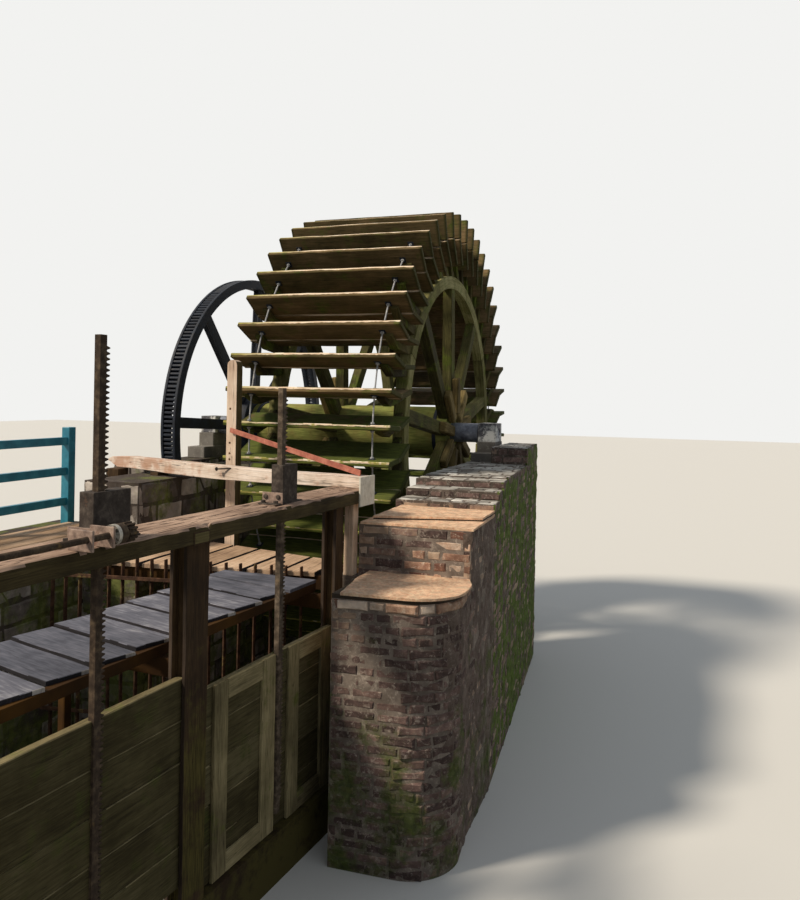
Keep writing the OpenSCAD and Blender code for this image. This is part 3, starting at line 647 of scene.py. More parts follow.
def knee(thick, seed):
    """A start, cut to the bend of its paddle; along X from the tip inwards, thickness along Z"""
    outline = [(2.340, -0.0235), (2.213, -0.0235), (1.919, 0.083), (1.790, 0.160), (1.790, 0.050),
               (1.96, -0.015), (2.150, -0.0820), (2.250, -0.0690), (2.335, -0.0520)]
    bm = prism([(KNEE_R - r, up, -thick / 2) for r, up in outline], thick)
    soften(bm, 0.004)
    bm.normal_update()
    lay_grain(bm, seed)
    return finish_shape(bm, "knee")


knees = [knee(0.08, k) for k in range(4)]
stamps = [(knees[(k + s) % 4], on_wheel(FIRST + PADDLE_STEP * k, s * RIM_X, KNEE_R) @ radial)
          for k in range(PADDLES) for s in (-1, 1)]
assemble("starts", stamps, SHADED_START_OAK, "wheel", "paddle_starts")
dress("axle", AXLE_OAK, 0.01)
dress("axle_bands", BLACK_IRON)
dress("journals", JOURNAL_IRON, 0.004)

# %% [markdown]
# ## Tie rods and their nuts
#
# Iron rods tie each paddle to the next, with a nut and a plate on both faces of the board. The
# solid model has the rods; the nuts are too small for it, so they are added here as hexagons.

# %% Nuts on the tie rods
def hex_nut(across, high):
    """A six-sided nut along Z with chamfered corners"""
    bm = bmesh.new()
    bmesh.ops.create_cone(bm, segments=6, radius1=across / 2, radius2=across / 2, depth=high, cap_ends=True)
    soften(bm, across * 0.06, [e for e in bm.edges if abs(e.verts[0].co.z - e.verts[1].co.z) < 1e-6])
    return finish_shape(bm, "nut")


dress("tie_rods", ROD_STEEL)
# The nuts are pale rod steel, which also paints the glints of light on them
pale_glint_nut = finish_facing(hex_nut(0.036, 0.018), (0, 0, 1), limit=-2)
rod_plate = board(0.06, 0.06, 0.006, cuts=0, arris=0.001, wear=0)
ROD_X, ROD_R = 0.62, 2.37
stamps = []
for k in range(PADDLES):
    for x in (-ROD_X, ROD_X):
        for up in (1, -1):
            stamps.append((rod_plate, on_wheel(FIRST + PADDLE_STEP * k, x, ROD_R, up * 0.0265)))
            stamps.append((pale_glint_nut, on_wheel(FIRST + PADDLE_STEP * k, x, ROD_R, up * 0.038)))
assemble("rod_nuts", stamps, [BLACK_IRON, ROD_STEEL], "wheel")

# %% [markdown]
# ## Gear ring
#
# Beside the wheel turns a great iron ring with slots, a lantern-like gear whose 240 rungs the
# mill's pinion grips. The solid model has its two rails; the rungs are bars with rounded
# corners, set at a pitch of 48 mm between the rails. Every tenth is part of the solid model.

# %% Rungs of the gear ring
GEAR_X, GEAR_R, GEAR_T, GEAR_W, RUNGS = -3.06, 1.83, 0.105, 0.176, 240
rung = board(GEAR_W - 0.058, GEAR_T - 0.012, 0.028, cuts=0, arris=0.006, wear=0)
stamps = [(rung, at(GEAR_X, 0, AXLE_Z) @ turn(-360 / RUNGS * k, "X") @ at(0, -GEAR_R + GEAR_T / 2, 0))
          for k in range(RUNGS) if k % 10]
assemble("gear_rungs", stamps, BLACK_IRON, "wheel")
for node in ("gear_ring", "gear_arms", "gear_hub"):
    dress(node, BLACK_IRON, 0.003)

# %% [markdown]
# ## The sluice frame
#
# The main beam is an oak balk whose top has opened in long splits, with a mended patch let
# into a shallow hollow in its front: a dark board a little larger than the patch rims it as
# painted shade. The guide posts are two thin leaves nailed on a web, so that the gate slides in
# the slot between them. The thin end of each leaf has dried pale in the sun, while the faces are
# dark. Each leaf and web is a board of its own.

# %% Main beam and guide posts
BEAM_TOP, BEAM_T, BEAM_W = 2.327, 0.092, 0.305
BEAM_V0, BEAM_V1 = -3.403, 0.230
NOTCH_V = -1.682                                      # a chip out of the arris beside the patch
RACKS = (-0.865, -2.370)                              # upstream sides of the right and left bar


def rack_room(v):
    """The hole for a rack, in the sluice frame: u and v from and to"""
    return -0.128, -0.076, v - 0.008, v + 0.068


def cut_through(bm, u0, u1, v0, v1):
    """Cuts a rectangular hole through a level sheet"""
    for axis, places in ((Vector((1, 0, 0)), (u0, u1)), (Vector((0, 1, 0)), (v0, v1))):
        for place in places:
            bmesh.ops.bisect_plane(bm, geom=everything(bm), plane_co=axis * place, plane_no=axis, dist=1e-6)
    spots = [(f, f.calc_center_median()) for f in bm.faces]
    inside = [f for f, spot in spots if u0 < spot.x < u1 and v0 < spot.y < v1]
    bmesh.ops.delete(bm, geom=inside, context="FACES")


def beam_with_holes():
    """The main beam with splits along its top and a hole for each rack"""
    bm = bmesh.new()
    bmesh.ops.create_grid(bm, x_segments=36, y_segments=200, size=0.5)
    bmesh.ops.scale(bm, vec=(BEAM_W, BEAM_V1 - BEAM_V0, 1), verts=bm.verts)
    bmesh.ops.translate(bm, vec=(-BEAM_W / 2, (BEAM_V0 + BEAM_V1) / 2, BEAM_TOP), verts=bm.verts)
    for v in RACKS:
        cut_through(bm, *rack_room(v))
    for v in bm.verts:
        u, w = v.co.x, v.co.y
        edge = min(-u, u + BEAM_W)
        ragged = 0.5 + 0.5 * noise.noise(Vector((0, w * 9, 1 if -u < u + BEAM_W else 7)))
        v.co.z -= (0.004 + 0.018 * ragged) * max(0, 1 - edge / 0.022) ** 2
        v.co.z -= 0.005 * max(0, noise.noise(Vector((u * 26, w * 1.3, 3))))
        v.co.z -= 0.012 * max(0, 1 - abs(noise.noise(Vector((u * 17, w * 1.1, 9)))) / 0.06)
        v.co.z -= 0.030 * max(0, 1 - abs(w - NOTCH_V) / 0.016) * max(0, 1 - -u / 0.03)
        if edge < 0.001:
            v.co.x += 0.004 * noise.noise(Vector((0, w * 7, 5)))
    for down, rough in ((0.45, 0.004), (1.0, 0.0)):
        wall = bmesh.ops.extrude_edge_only(bm, edges=[e for e in bm.edges if e.is_boundary])
        for v in new_verts(wall):
            v.co.z = BEAM_TOP - BEAM_T * down + rough * noise.noise(v.co * 6)
    bmesh.ops.triangle_fill(bm, use_beauty=True, edges=[e for e in bm.edges if e.is_boundary])
    bmesh.ops.recalc_face_normals(bm, faces=bm.faces)
    uv = bm.loops.layers.uv.verify()
    for face in bm.faces:
        n = face.normal
        for loop in face.loops:
            u, w, z = loop.vert.co
            loop[uv].uv = (w, u if abs(n.z) > 0.5 else z + 0.7) if abs(n.y) < 0.7 else (0.02 * u, z + 3 * u)
    mesh = finish_shape(bm, "main_beam_oak")
    mesh.transform(SLUICE)
    return mesh


beam = finish_facing(beam_with_holes(), (0, 0, 1), limit=0.5)
as_piece("main_beam_oak", beam, [BEAM_SIDE, BEAM_OAK], "frame", "main_beam")
patch = board(0.118, 0.056, 0.014, cuts=5, wear=0.001, arris=0.004, seed=2)
# A dark oak board a little larger than the patch rims it as painted shade
shade_frame = finish_facing(board(0.130, 0.066, 0.010, cuts=1, wear=0, arris=0.001), (0, 0, 1), limit=-2)
on_side = turn(90, "Z") @ turn(90, "X")               # a board along X laid along v, its width upright
PATCH_V, PATCH_Z = -1.742, 2.261
assemble("beam_patch", [(patch, SLUICE @ at(-0.0035, PATCH_V, PATCH_Z) @ on_side),
                        (shade_frame, SLUICE @ at(-0.003, PATCH_V, PATCH_Z) @ on_side)],
         [PATCH_OAK, GUIDE_OAK], "frame")

upright = turn(-90, "Y")                              # a board along X turned to stand up
LEAF_T, POST_H = 0.023, 2.235
GUIDES = ((-0.180, 0.110), (-1.768, 0.183), (-3.283, 0.110))       # upstream edge and width of each
WEBS = ((-0.1025, 0.065), (-1.6765, 0.093), (-3.2505, 0.065))      # middle and width of each
stamps = []
for k, (v0, w) in enumerate(GUIDES):
    leaf = board(POST_H, w, LEAF_T, cuts=16, wear=0.0025, arris=0.002, seed=k + 3)
    for way in (1, -1):
        finish_facing(leaf, (0, way, 0))
    for u in (-0.1705, -0.0815):
        stamps.append((leaf, SLUICE @ at(u, v0 + w / 2, POST_H / 2) @ upright))
for k, (v, w) in enumerate(WEBS):
    web = board(POST_H, 0.066, w, cuts=8, wear=0.002, arris=0.002, seed=k + 9)
    stamps.append((web, SLUICE @ at(-0.126, v, POST_H / 2) @ upright @ turn(90, "X")))
assemble("guide_boards", stamps, [GUIDE_OAK, LEAF_EDGE], "frame", "sluice_posts")

foot = board(0.52, 0.080, 0.073, cuts=5, wear=0.002, arris=0.004, seed=4)
assemble("end_post_oak", [(foot, SLUICE @ at(-0.075, 0.0565, 1.975) @ upright)], END_POST, "frame")
dress("gate_sill", GUIDE_OAK, 0.004)

# %% [markdown]
# ## Gates
#
# A gate is a shutter of boards held by a frame of stiles and rails on the side towards the
# walkway's outer edge. The rack is bolted down its middle. Its boards stay wet, so they are
# mossy; the frame stands proud and dries lighter. The left gate's boards are flush, with no frame.

# %% Gate boards and frames
GATE_H, GATE_W, GATE_FOOT, GATE_BACK, PLANKS = 1.082, 1.475, 0.320, -0.153, 5
FRAME_U, FRAME_T, RAIL_W = -0.1095, 0.021, 0.112      # middle and thickness of the frame, width of a rail
STILES = ((0.145, 0.125), (0.610, 0.140), (0.905, 0.125), (1.315, 0.145))


def gate(name, v0, z0, body, thick=0.033, stiles=STILES):
    """Boards, stiles and rails of a gate whose upstream edge is at v0 and whose foot is at z0"""
    stamps = []
    wide = GATE_H / PLANKS
    for k in range(PLANKS):
        plank = board(GATE_W, wide - 0.003, thick, cuts=10, wear=0.003, arris=0.004, seed=k + 20)
        finish_facing(finish_facing(plank, (0, 1, 0), 1, -2), (0, 1, 0), 0)
        spot = at(GATE_BACK + thick / 2, v0 + GATE_W / 2, z0 + wide * (k + 0.5))
        stamps.append((plank, SLUICE @ spot @ on_side))
    for k, (off, w) in enumerate(stiles):
        stile = board(GATE_H + 0.004, w, FRAME_T, cuts=8, wear=0.0015, arris=0.003, seed=k + 30)
        spot = at(FRAME_U, v0 + off + w / 2, z0 + GATE_H / 2)
        stamps.append((stile, SLUICE @ spot @ upright))
    for k in (0, 2)[:len(stiles) // 2]:
        a, b = stiles[k][0] + stiles[k][1], stiles[k + 1][0]
        rail = board(b - a - 0.002, RAIL_W, FRAME_T, cuts=4, wear=0.0015, arris=0.003, seed=k + 40)
        for z in (RAIL_W / 2, GATE_H - RAIL_W / 2):
            stamps.append((rail, SLUICE @ at(FRAME_U, v0 + (a + b) / 2, z0 + z) @ on_side))
    assemble(name + "_boards", stamps, [GATE_OAK, GATE_PANEL], body, name)


gate("gate_right", -1.620, GATE_FOOT, "gate_right")
gate("gate_left", -3.208, GATE_FOOT + 0.130, "gate_left", thick=0.054, stiles=())
for side, iron in (("right", LIGHTER_RACK), ("left", RACK_IRON)):
    dress("rack_" + side, iron, 0.002)
    dress("gear_box_" + side, RUSTY_IRON, 0.004)
dress("shaft_brackets", PLATE_IRON, 0.002)
dress("drive_shaft", RACK_IRON, 0.002)

# %% [markdown]
# ## Small iron on the beam
#
# The angle brackets that hold the gear boxes are bolted down, and the drive shaft has a light
# collar. Bolts are a hexagon on a short shank; the collar is a ring spun from its section.

# %% Bolts, plates and the collar
BRACKETS = (-0.887, -2.419)                           # upstream sides of the gear boxes
bolt = hex_nut(0.030, 0.014)
washer = hex_nut(0.042, 0.003)
stamps = []
for v0 in BRACKETS:
    for u in (-0.175, -0.085):
        stamps.append((washer, SLUICE @ at(u, v0 - 0.040, 2.3365)))
        stamps.append((bolt, SLUICE @ at(u, v0 - 0.040, 2.345)))
        stamps.append((bolt, SLUICE @ at(u, v0 - 0.014, 2.372) @ turn(90, "X")))
assemble("bracket_bolts", stamps, RUSTY_IRON, "frame")
flange = board(0.146, 0.070, 0.004, cuts=2, wear=0.001, arris=0.001)
assemble("bracket_faces", [(flange, SLUICE @ at(-0.127, v0 - 0.010, 2.363) @ turn(90, "X"))
                           for v0 in BRACKETS], PLATE_IRON, "frame")


def ring(r0, r1, length, chamfer=0.002, steps=40):
    """A ring about the Y axis, centred on the origin"""
    bm = bmesh.new()
    corners = [(r0, -length / 2, 0), (r1, -length / 2, 0), (r1, length / 2, 0), (r0, length / 2, 0)]
    loop = [bm.verts.new(c) for c in corners]
    edges = [bm.edges.new((loop[k], loop[(k + 1) % 4])) for k in range(4)]
    bmesh.ops.bevel(bm, geom=loop, offset=chamfer, segments=1, profile=0.5, affect="VERTICES", material=-1)
    bmesh.ops.spin(bm, geom=bm.verts[:] + bm.edges[:], cent=(0, 0, 0), axis=(0, 1, 0), dvec=(0, 0, 0),
                   angle=2 * math.pi, steps=steps, use_merge=True, use_duplicate=False)
    bmesh.ops.recalc_face_normals(bm, faces=bm.faces)
    return finish_shape(bm, "ring")


SHAFT = SLUICE @ at(0.045, 0, 2.378)
assemble("collar", [(ring(0.0145, 0.046, 0.022), SHAFT @ at(0, -2.409, 0)),
                    (ring(0.0145, 0.030, 0.012), SHAFT @ at(0, -2.427, 0))], ZINC, "drive_shaft")

# %% [markdown]
# ## Decks
#
# The walkway's boards lie askew across two joists; their ends were never trimmed, so each
# stops a little short or long. The platform's boards run downstream with open gaps. Both are
# worn smooth and bleached. An iron rack of upright bars stands under the platform's front edge.

# %% Walkway, platform and boardwalk
DECK_TOP = 1.680


def deck_board(corners, thick, seed):
    """A board with four given corners: near left, near right, far right, far left"""
    bm = bmesh.new()
    near, far = (corners[0] + corners[1]) / 2, (corners[2] + corners[3]) / 2
    axis = (far - near).normalized()
    side = Vector((-axis.y, axis.x))
    face = bm.faces.new([bm.verts.new((*c, DECK_TOP)) for c in corners])
    bmesh.ops.subdivide_edges(bm, edges=[face.edges[1], face.edges[3]], cuts=9, use_grid_fill=True)
    ways = [(e, (e.verts[0].co - e.verts[1].co).to_2d().normalized()) for e in bm.edges]
    bmesh.ops.subdivide_edges(bm, edges=[e for e, way in ways if abs(way.dot(axis)) < 0.7],
                              cuts=3, use_grid_fill=True)
    made = bmesh.ops.extrude_face_region(bm, geom=bm.faces[:])
    bmesh.ops.translate(bm, vec=(0, 0, -thick), verts=new_verts(made))
    bmesh.ops.recalc_face_normals(bm, faces=bm.faces)
    soften(bm, 0.003, [e for e in bm.edges if e.calc_face_angle(0) > 1.0
                       and min(v.co.z for v in e.verts) > DECK_TOP - 1e-4])
    for v in bm.verts:
        cup = noise.noise(Vector((v.co.x * 3, v.co.y * 3, seed * 4.1)))
        edge = noise.noise(Vector((v.co.x * 11, v.co.y * 11, seed)))
        v.co.z -= 0.004 * abs(cup) + (0.002 if seed % 3 == 0 else 0)
        v.co.x += side.x * 0.003 * edge
        v.co.y += side.y * 0.003 * edge
    uv = bm.loops.layers.uv.verify()
    for face in bm.faces:
        end_grain = abs(face.normal.xy.dot(axis)) >= 0.7
        for loop in face.loops:
            p = loop.vert.co
            along, across = p.xy.dot(axis), p.xy.dot(side)
            loop[uv].uv = (0.02 * along, across * 3 + p.z) if end_grain else (along, across + p.z)
    return finish_shape(bm, "deck_board")


U_NEAR, U_FAR, SEAM, PITCH, SKEW = -0.290, -1.055, -0.410, 0.285, 0.130
WALK_T, DECK_GAP, STEP_BACK = 0.022, 0.046, 0.042     # thickness, space between, skew of a board's end
stamps = []
for k in range(1, 11):
    a, b = SEAM - k * PITCH, SEAM - (k - 1) * PITCH - DECK_GAP
    trim = [random.uniform(0, 0.010) for _ in range(2)]
    corners = [Vector((U_NEAR - STEP_BACK - trim[0], a)), Vector((U_NEAR - trim[0], b)),
               Vector((U_FAR + trim[1] + STEP_BACK, b + SKEW)), Vector((U_FAR + trim[1], a + SKEW))]
    shape = deck_board(corners, WALK_T, k)
    # The sides and ends of each board are painted dark as the shade in the gaps
    for way in ((1, 0, 0), (-1, 0, 0), (0, 1, 0), (0, -1, 0)):
        finish_facing(shape, way, 2, limit=0.7)
    for face in shape.polygons:
        if (face.center.xy - corners[1]).length < 0.050 and abs(face.normal.z) < 0.8:
            face.material_index = 1
    stamps.append((shape, SLUICE))
last = [Vector(c) for c in ((U_NEAR, SEAM), (U_NEAR, -0.060), (U_FAR, -0.100), (U_FAR, SEAM + SKEW))]
stamps.append((deck_board(last, WALK_T, 11), SLUICE))
assemble("walkway_boards", stamps, [SHADED_DECK_GREY, END_GRAIN, DECK_SIDE_SHADE], "frame", "walkway_deck")

PLAT_X, PLAT_PITCH, PLAT_T = -0.520, 0.278, 0.033
FRONT_SLOPE = 0.167


def front_at(x):
    """Upstream edge of the platform"""
    return -3.600 + (x - PLAT_X) * FRONT_SLOPE


def back_at(x):
    """Downstream edge of the platform"""
    return -3.148 - (x - PLAT_X) * 0.242


stamps = []
for k in range(6):
    x1 = PLAT_X - k * PLAT_PITCH
    x0 = x1 - PLAT_PITCH + 0.032
    corners = [Vector((x0, front_at(x0))), Vector((x1, front_at(x1))),
               Vector((x1, back_at(x1))), Vector((x0, back_at(x0)))]
    shape = deck_board(corners, PLAT_T, k + 20)
    # The sides of each board are painted dark as the shade in the gaps
    for way in ((1, 0, 0), (-1, 0, 0)):
        finish_facing(shape, way)
    stamps.append((shape, Matrix()))
assemble("platform_boards", stamps, [DECK_WARM, DECK_SIDE_SHADE], "frame", "platform_deck")

plank = variants(4, 3.82, 0.170, 0.022, cuts=20, wear=0.002, arris=0.003)
stamps = [(plank[k], at(-3.505 + k * 0.182 + 0.085, -4.69, 1.731) @ turn(90, "Z")) for k in range(4)]
assemble("boardwalk_boards", stamps, BOARDWALK, "frame", "boardwalk")
dress("deck_joists", JOIST, 0.003)

BAR_X, BAR_PITCH, BAR_TOP, BAR_Y, BARS = -0.614, 0.117, 1.720, -3.633, 18
bars = variants(4, BAR_TOP, 0.035, 0.012, cuts=9, wear=0.004, arris=0.002)
stamps = []
for k in range(BARS):
    x = BAR_X - k * BAR_PITCH + random.uniform(-0.006, 0.006)
    spot = at(x, BAR_Y + (x - BAR_X) * FRONT_SLOPE, BAR_TOP / 2)
    stamps.append((bars[k % 4], spot @ turn(random.uniform(-0.3, 0.3), "Y") @ upright))
rail = board(2.15, 0.013, 0.028, cuts=12, wear=0.002, arris=0.002)
for z in (0.514, 1.565):
    stamps.append((rail, at(-1.607, -3.826, z) @ turn(9.5, "Z")))
assemble("trash_rack_bars", stamps, RACK_RUST, "frame", "trash_rack")

# %% [markdown]
# ## Loose timbers and rails
#
# A pale sawn beam lies across the sluice, its left end splintered; a post with bolt holes and
# a rounded head stands behind it, and a red-painted bar slants between them. The holes are bored
# by subtracting cylinders, and a long bolt sticks out of the beam. The fence is glossy teal.

# %% Pale beam, posts, bar, sign and fence
PALE_AXES = at(-0.083, -3.683, BEAM_TOP + 0.008) @ turn(160.3, "Z") @ turn(1.1, "Y")
PALE_L, PALE_W, SPLINTERS = 3.36, 0.120, 0.5
UNDERSIDE = ((0.0, -0.0079), (0.38, -0.0006), (0.381, -0.009), (1.05, -0.025), (1.6, -0.030), (2.0, -0.027),
             (2.4, -0.016), (2.95, 0.002), (3.36, 0.002))
TOP_LINE = ((0.0, 0.080), (1.15, 0.076), (1.86, 0.086), (2.55, 0.099), (3.0, 0.110), (3.36, 0.100))


def height_at(x, line):
    """The height of a bent line, given by its corners, at a place along it"""
    for (x0, z0), (x1, z1) in zip(line, line[1:]):
        if x <= x1:
            return z0 + (z1 - z0) * max(0, x - x0) / (x1 - x0)
    return line[-1][1]


def pale_beam_shape():
    """A sawn beam with a splintered left end and a halved right end"""
    bm = block(PALE_L, PALE_W, 1.0, 60)
    bmesh.ops.translate(bm, vec=(PALE_L / 2, -PALE_W / 2, 0.5), verts=bm.verts)
    rings = [e for e in bm.edges if abs(e.verts[0].co.x - e.verts[1].co.x) < 1e-5]
    bmesh.ops.subdivide_edges(bm, edges=rings, cuts=5, use_grid_fill=True)
    for v in bm.verts:
        x, y, high = v.co
        low, top = height_at(x, UNDERSIDE), height_at(x, TOP_LINE)
        z = v.co.z = low + (top - low) * high
        reach = 0.17 * abs(high - 0.75) / 0.75 if high < 0.75 else 0.1 * (high - 0.75) / 0.25
        reach += 0.05 * abs(noise.noise(Vector((1, y * 60, z * 60))))
        if x > PALE_L - SPLINTERS:
            v.co.x = min(x, PALE_L - SPLINTERS + (x - PALE_L + SPLINTERS) * (SPLINTERS - reach) / SPLINTERS)
        drift = noise.noise_vector(Vector((x * 4, y * 12, z * 12)))
        v.co.y += 0.003 * drift.y
        v.co.z += 0.003 * drift.z
    soften(bm, 0.003, [e for e in bm.edges if e.calc_face_angle(0) > 1.2])
    bm.normal_update()
    lay_grain(bm)
    bmesh.ops.transform(bm, matrix=SLUICE.inverted() @ PALE_AXES, verts=bm.verts)
    bmesh.ops.bisect_plane(bm, geom=everything(bm), plane_co=(0, 0, 0), plane_no=(1, 0, 0),
                           clear_outer=True, dist=1e-5)
    bmesh.ops.holes_fill(bm, edges=[e for e in bm.edges if e.is_boundary], sides=0)
    bmesh.ops.recalc_face_normals(bm, faces=bm.faces)
    mesh = finish_shape(bm, "pale_beam")
    mesh.transform(SLUICE)
    return mesh


as_piece("pale_larch_beam", pale_beam_shape(), PALE, "frame", "pale_beam")


def round_headed_post(width, height):
    """A square post with a rounded head, standing along X, from 0 to its height"""
    r = width / 2
    bends = [math.pi * k / 8 for k in range(1, 8)]
    head = [(height - r + r * math.sin(a), -r * math.cos(a)) for a in bends]
    outline = [(0, -r), (height - r, -r)] + head + [(height - r, r), (0, r)]
    bm = prism([(x, y, -r) for x, y in outline], width)
    soften(bm, 0.004, segments=2)
    bm.normal_update()
    lay_grain(bm)
    return finish_shape(bm, "post")


POST_X, POST_Y, POST_W, POST_FOOT = -1.699, -2.789, 0.098, 1.547
stood = at(POST_X, POST_Y, POST_FOOT) @ upright @ turn(90, "X")


def drilled(mesh, spots, radius, deep=0.09):
    """The mesh with round holes bored along Y at the given places"""
    bm = bmesh.new()
    for spot in spots:
        bmesh.ops.create_cone(bm, segments=12, radius1=radius, radius2=radius, depth=deep, cap_ends=True,
                              matrix=at(*spot) @ turn(90, "X"))
    drill = bpy.data.objects.new("drill", finish_shape(bm, "drill"))
    blank = bpy.data.objects.new("blank", mesh)
    for made in (drill, blank):
        bpy.context.collection.objects.link(made)
    cut = blank.modifiers.new("holes", "BOOLEAN")
    cut.operation, cut.object = "DIFFERENCE", drill
    bored = bpy.data.meshes.new_from_object(blank.evaluated_get(bpy.context.evaluated_depsgraph_get()))
    for made in (drill, blank):
        bpy.data.objects.remove(made)
    return bored


post = round_headed_post(POST_W, 3.300 - POST_FOOT)
post.transform(stood)
finish_facing(post, (1, 0, 0))
holes = [(-1.712, POST_Y - POST_W / 2, z) for z in (2.867, 2.566, 2.473, 2.420)]
assemble("tall_post", [(drilled(post, holes, 0.011), Matrix())], [POST, POST_SIDE], "frame", "timber_posts")
bm = bmesh.new()
bmesh.ops.create_cone(bm, segments=12, radius1=0.0065, radius2=0.0065, depth=1.0, cap_ends=True)
shank = finish_shape(bm, "shank")
BOLT_HEAD, BOLT_FOOT = Vector((-1.629, -3.182, 2.366)), Vector((-1.484, -3.172, 2.378))
bolt_axis = BOLT_HEAD - BOLT_FOOT
along_bolt = at(*(BOLT_HEAD + BOLT_FOOT) / 2) @ bolt_axis.to_track_quat("Z", "Y").to_matrix().to_4x4()
bolt_long = bolt_axis.length
assemble("long_bolt", [(shank, along_bolt @ Matrix.Diagonal((1, 1, bolt_long, 1))),
                       (hex_nut(0.032, 0.016), along_bolt @ at(0, 0, bolt_long / 2))], RUSTY_IRON, "frame")
short = board(0.553, 0.150, 0.148, cuts=5, wear=0.003, arris=0.006, seed=3)
packing = board(0.118, 0.118, 0.031, cuts=1, wear=0.001, arris=0.002, seed=5)
assemble("short_post", [(short, at(-3.025, -2.676, 1.9965) @ upright),
                        (packing, at(-2.479, -2.775, 2.256) @ turn(160.3, "Z"))], GUIDE_OAK, "frame")
dress("red_bar", RED_OXIDE, 0.002)
dress("sign_board", SIGN, 0.001)
dress("fence_posts", TEAL, 0.006)
dress("fence_rails", TEAL, 0.005)

# %% [markdown]
# ## Laying bricks
#
# A wall is a path seen from above with its outer side on the left. Bricks are laid along each
# straight or curved run of it, course by course: the bond shifts from course to course, lengths
# vary, and each brick sits a little proud or shy of its neighbours, which is what makes old
# brickwork look old. At a corner the last brick is cut. The solid part behind them shows as the
# mortar in the joints. Stones are laid the same way, only larger and rougher.

# %% Bricks, stones and runs of wall
JOINT = 0.010


def block_shapes(length, deep, high, arris=0.011, rough=0.007):
    """Eight blocks with a worn face at y = 0 and their body behind it"""
    shapes = []
    for k in range(8):
        bm = block(length, deep, high, 2)
        bmesh.ops.translate(bm, vec=(0, -deep / 2, 0), verts=bm.verts)
        soften(bm, arris, [e for e in bm.edges if e.calc_face_angle(0) > 1
                           and min(v.co.y for v in e.verts) > -deep * 0.1])
        for v in bm.verts:
            if v.co.y > -deep * 0.5:
                v.co += rough * noise.noise_vector(v.co * 27 + Vector((k * 9, 0, 0)))
        shapes.append(finish_shape(bm, "block"))
    return shapes


BRICK_H, STONE_H = 0.060, 0.170
BRICKS = {long: block_shapes(long, 0.05, BRICK_H) for long in (0.205, 0.160, 0.100)}
STONES = {long: block_shapes(long, 0.06, STONE_H, 0.018, 0.014) for long in (0.360, 0.270, 0.190)}


def runs(path):
    """Splits a path at its corners into straight or gently curved runs"""
    points = [Vector(p) for p in path]
    parts = [[points[0]]]
    for before, here, after in zip(points, points[1:], points[2:]):
        parts[-1].append(here)
        if (here - before).angle(after - here) > 0.5:
            parts.append([here])
    parts[-1].append(points[-1])
    return parts


def walk(points):
    """Length of a run and a function that gives the point and direction at a distance"""
    reach = [0.0]
    for a, b in zip(points, points[1:]):
        reach.append(reach[-1] + (b - a).length)

    def spot(s):
        k = min(max(i for i, r in enumerate(reach) if r <= s + 1e-9), len(points) - 2)
        a, b = points[k], points[k + 1]
        t = (s - reach[k]) / max(reach[k + 1] - reach[k], 1e-9)
        return a + (b - a) * t, (b - a).normalized()
    return reach[-1], spot


def bond(total, sizes, headers):
    """Cuts a course into blocks: the middle, the length and the full length of each"""
    s = -random.choice((0.0, 0.25, 0.5)) * sizes[0]
    while s < total - 0.03:
        long = random.choices(sizes, (1 - headers - 0.12, 0.12, headers))[0]
        a, b = max(s, 0.0), min(s + long, total)
        if b - a > 0.03:
            yield (a + b) / 2, b - a, long
        s += long + JOINT


def lay(path, z0, z1, blocks=BRICKS, high=BRICK_H, proud=0.003, loose=0.003, headers=0.25):
    """Stamps for a wall of blocks along a path whose outer side is on the left"""
    stamps = []
    rows = max(1, round((z1 - z0) / (high + JOINT)))
    course = (z1 - z0) / rows
    for points in runs(path):
        total, spot = walk(points)
        for row in range(rows):
            for middle, cut, long in bond(total, list(blocks), headers):
                point, way = spot(middle)
                out = Vector((-way.y, way.x))
                at_face = point + out * (proud + random.uniform(-loose, loose))
                sag = 0.005 * noise.noise(Vector((point.x * 4, point.y * 4, row * 2.3)))
                place = Matrix(((way.x, out.x, 0, at_face.x), (way.y, out.y, 0, at_face.y),
                                (0, 0, 1, z0 + course * (row + 0.5) + sag), (0, 0, 0, 1)))
                tall = course - JOINT * random.uniform(0.7, 1.4)
                fit = Matrix.Diagonal((cut / long, 1, tall / high, 1))
                shape = random.choice(blocks[long])
                stamps.append((shape, place @ turn(random.uniform(-1.2, 1.2), "Y") @ fit))
    return stamps


def pave(x0, edge, y0, y1, z, course=0.105):
    """Stamps for bricks laid flat from x0 to a slanting edge"""
    stamps = []
    rows = max(1, round((y1 - y0) / course))
    wide = (y1 - y0) / rows
    for row in range(rows):
        y = y0 + wide * (row + 0.5)
        for middle, cut, long in bond(edge(y) - 0.004 - x0, list(BRICKS), 0.2):
            fit = Matrix.Diagonal((cut / long, 1, (wide - JOINT) / BRICK_H, 1))
            place = at(x0 + middle, y, z + random.uniform(0.001, 0.006)) @ turn(random.uniform(-1, 1), "Z")
            stamps.append((random.choice(BRICKS[long]), place @ turn(90, "X") @ fit))
    return stamps


print("blocks:", len(BRICKS) + len(STONES), "sizes")

# %% [markdown]
# ## The pier
#
# The pier steps up from the cutwater in front to the block that carries the bearing. The
# cutwater ends in a course of tan bricks, a raked joint and a slab of brick dust and rubble;
# the level behind it has the same slab in two layers, with a raked joint under the upper one.
# The raked joints are painted dark as shade. These two cores are extruded from their
# outlines; the other solid blocks keep their place as the mortar between the bricks.

# %% Cores of the cutwater and the front level
NOSE_TOP, STRIP_TOP, FRONT_TOP = 1.760, 2.104, 2.128


def rounded_corner(right, front, radius, steps=12):
    """Points of the cutwater's round corner, from its right side to its front"""
    bends = [math.pi / 2 * k / steps for k in range(steps + 1)]
    return [(right - radius + radius * math.cos(a), front + radius - radius * math.sin(a)) for a in bends]


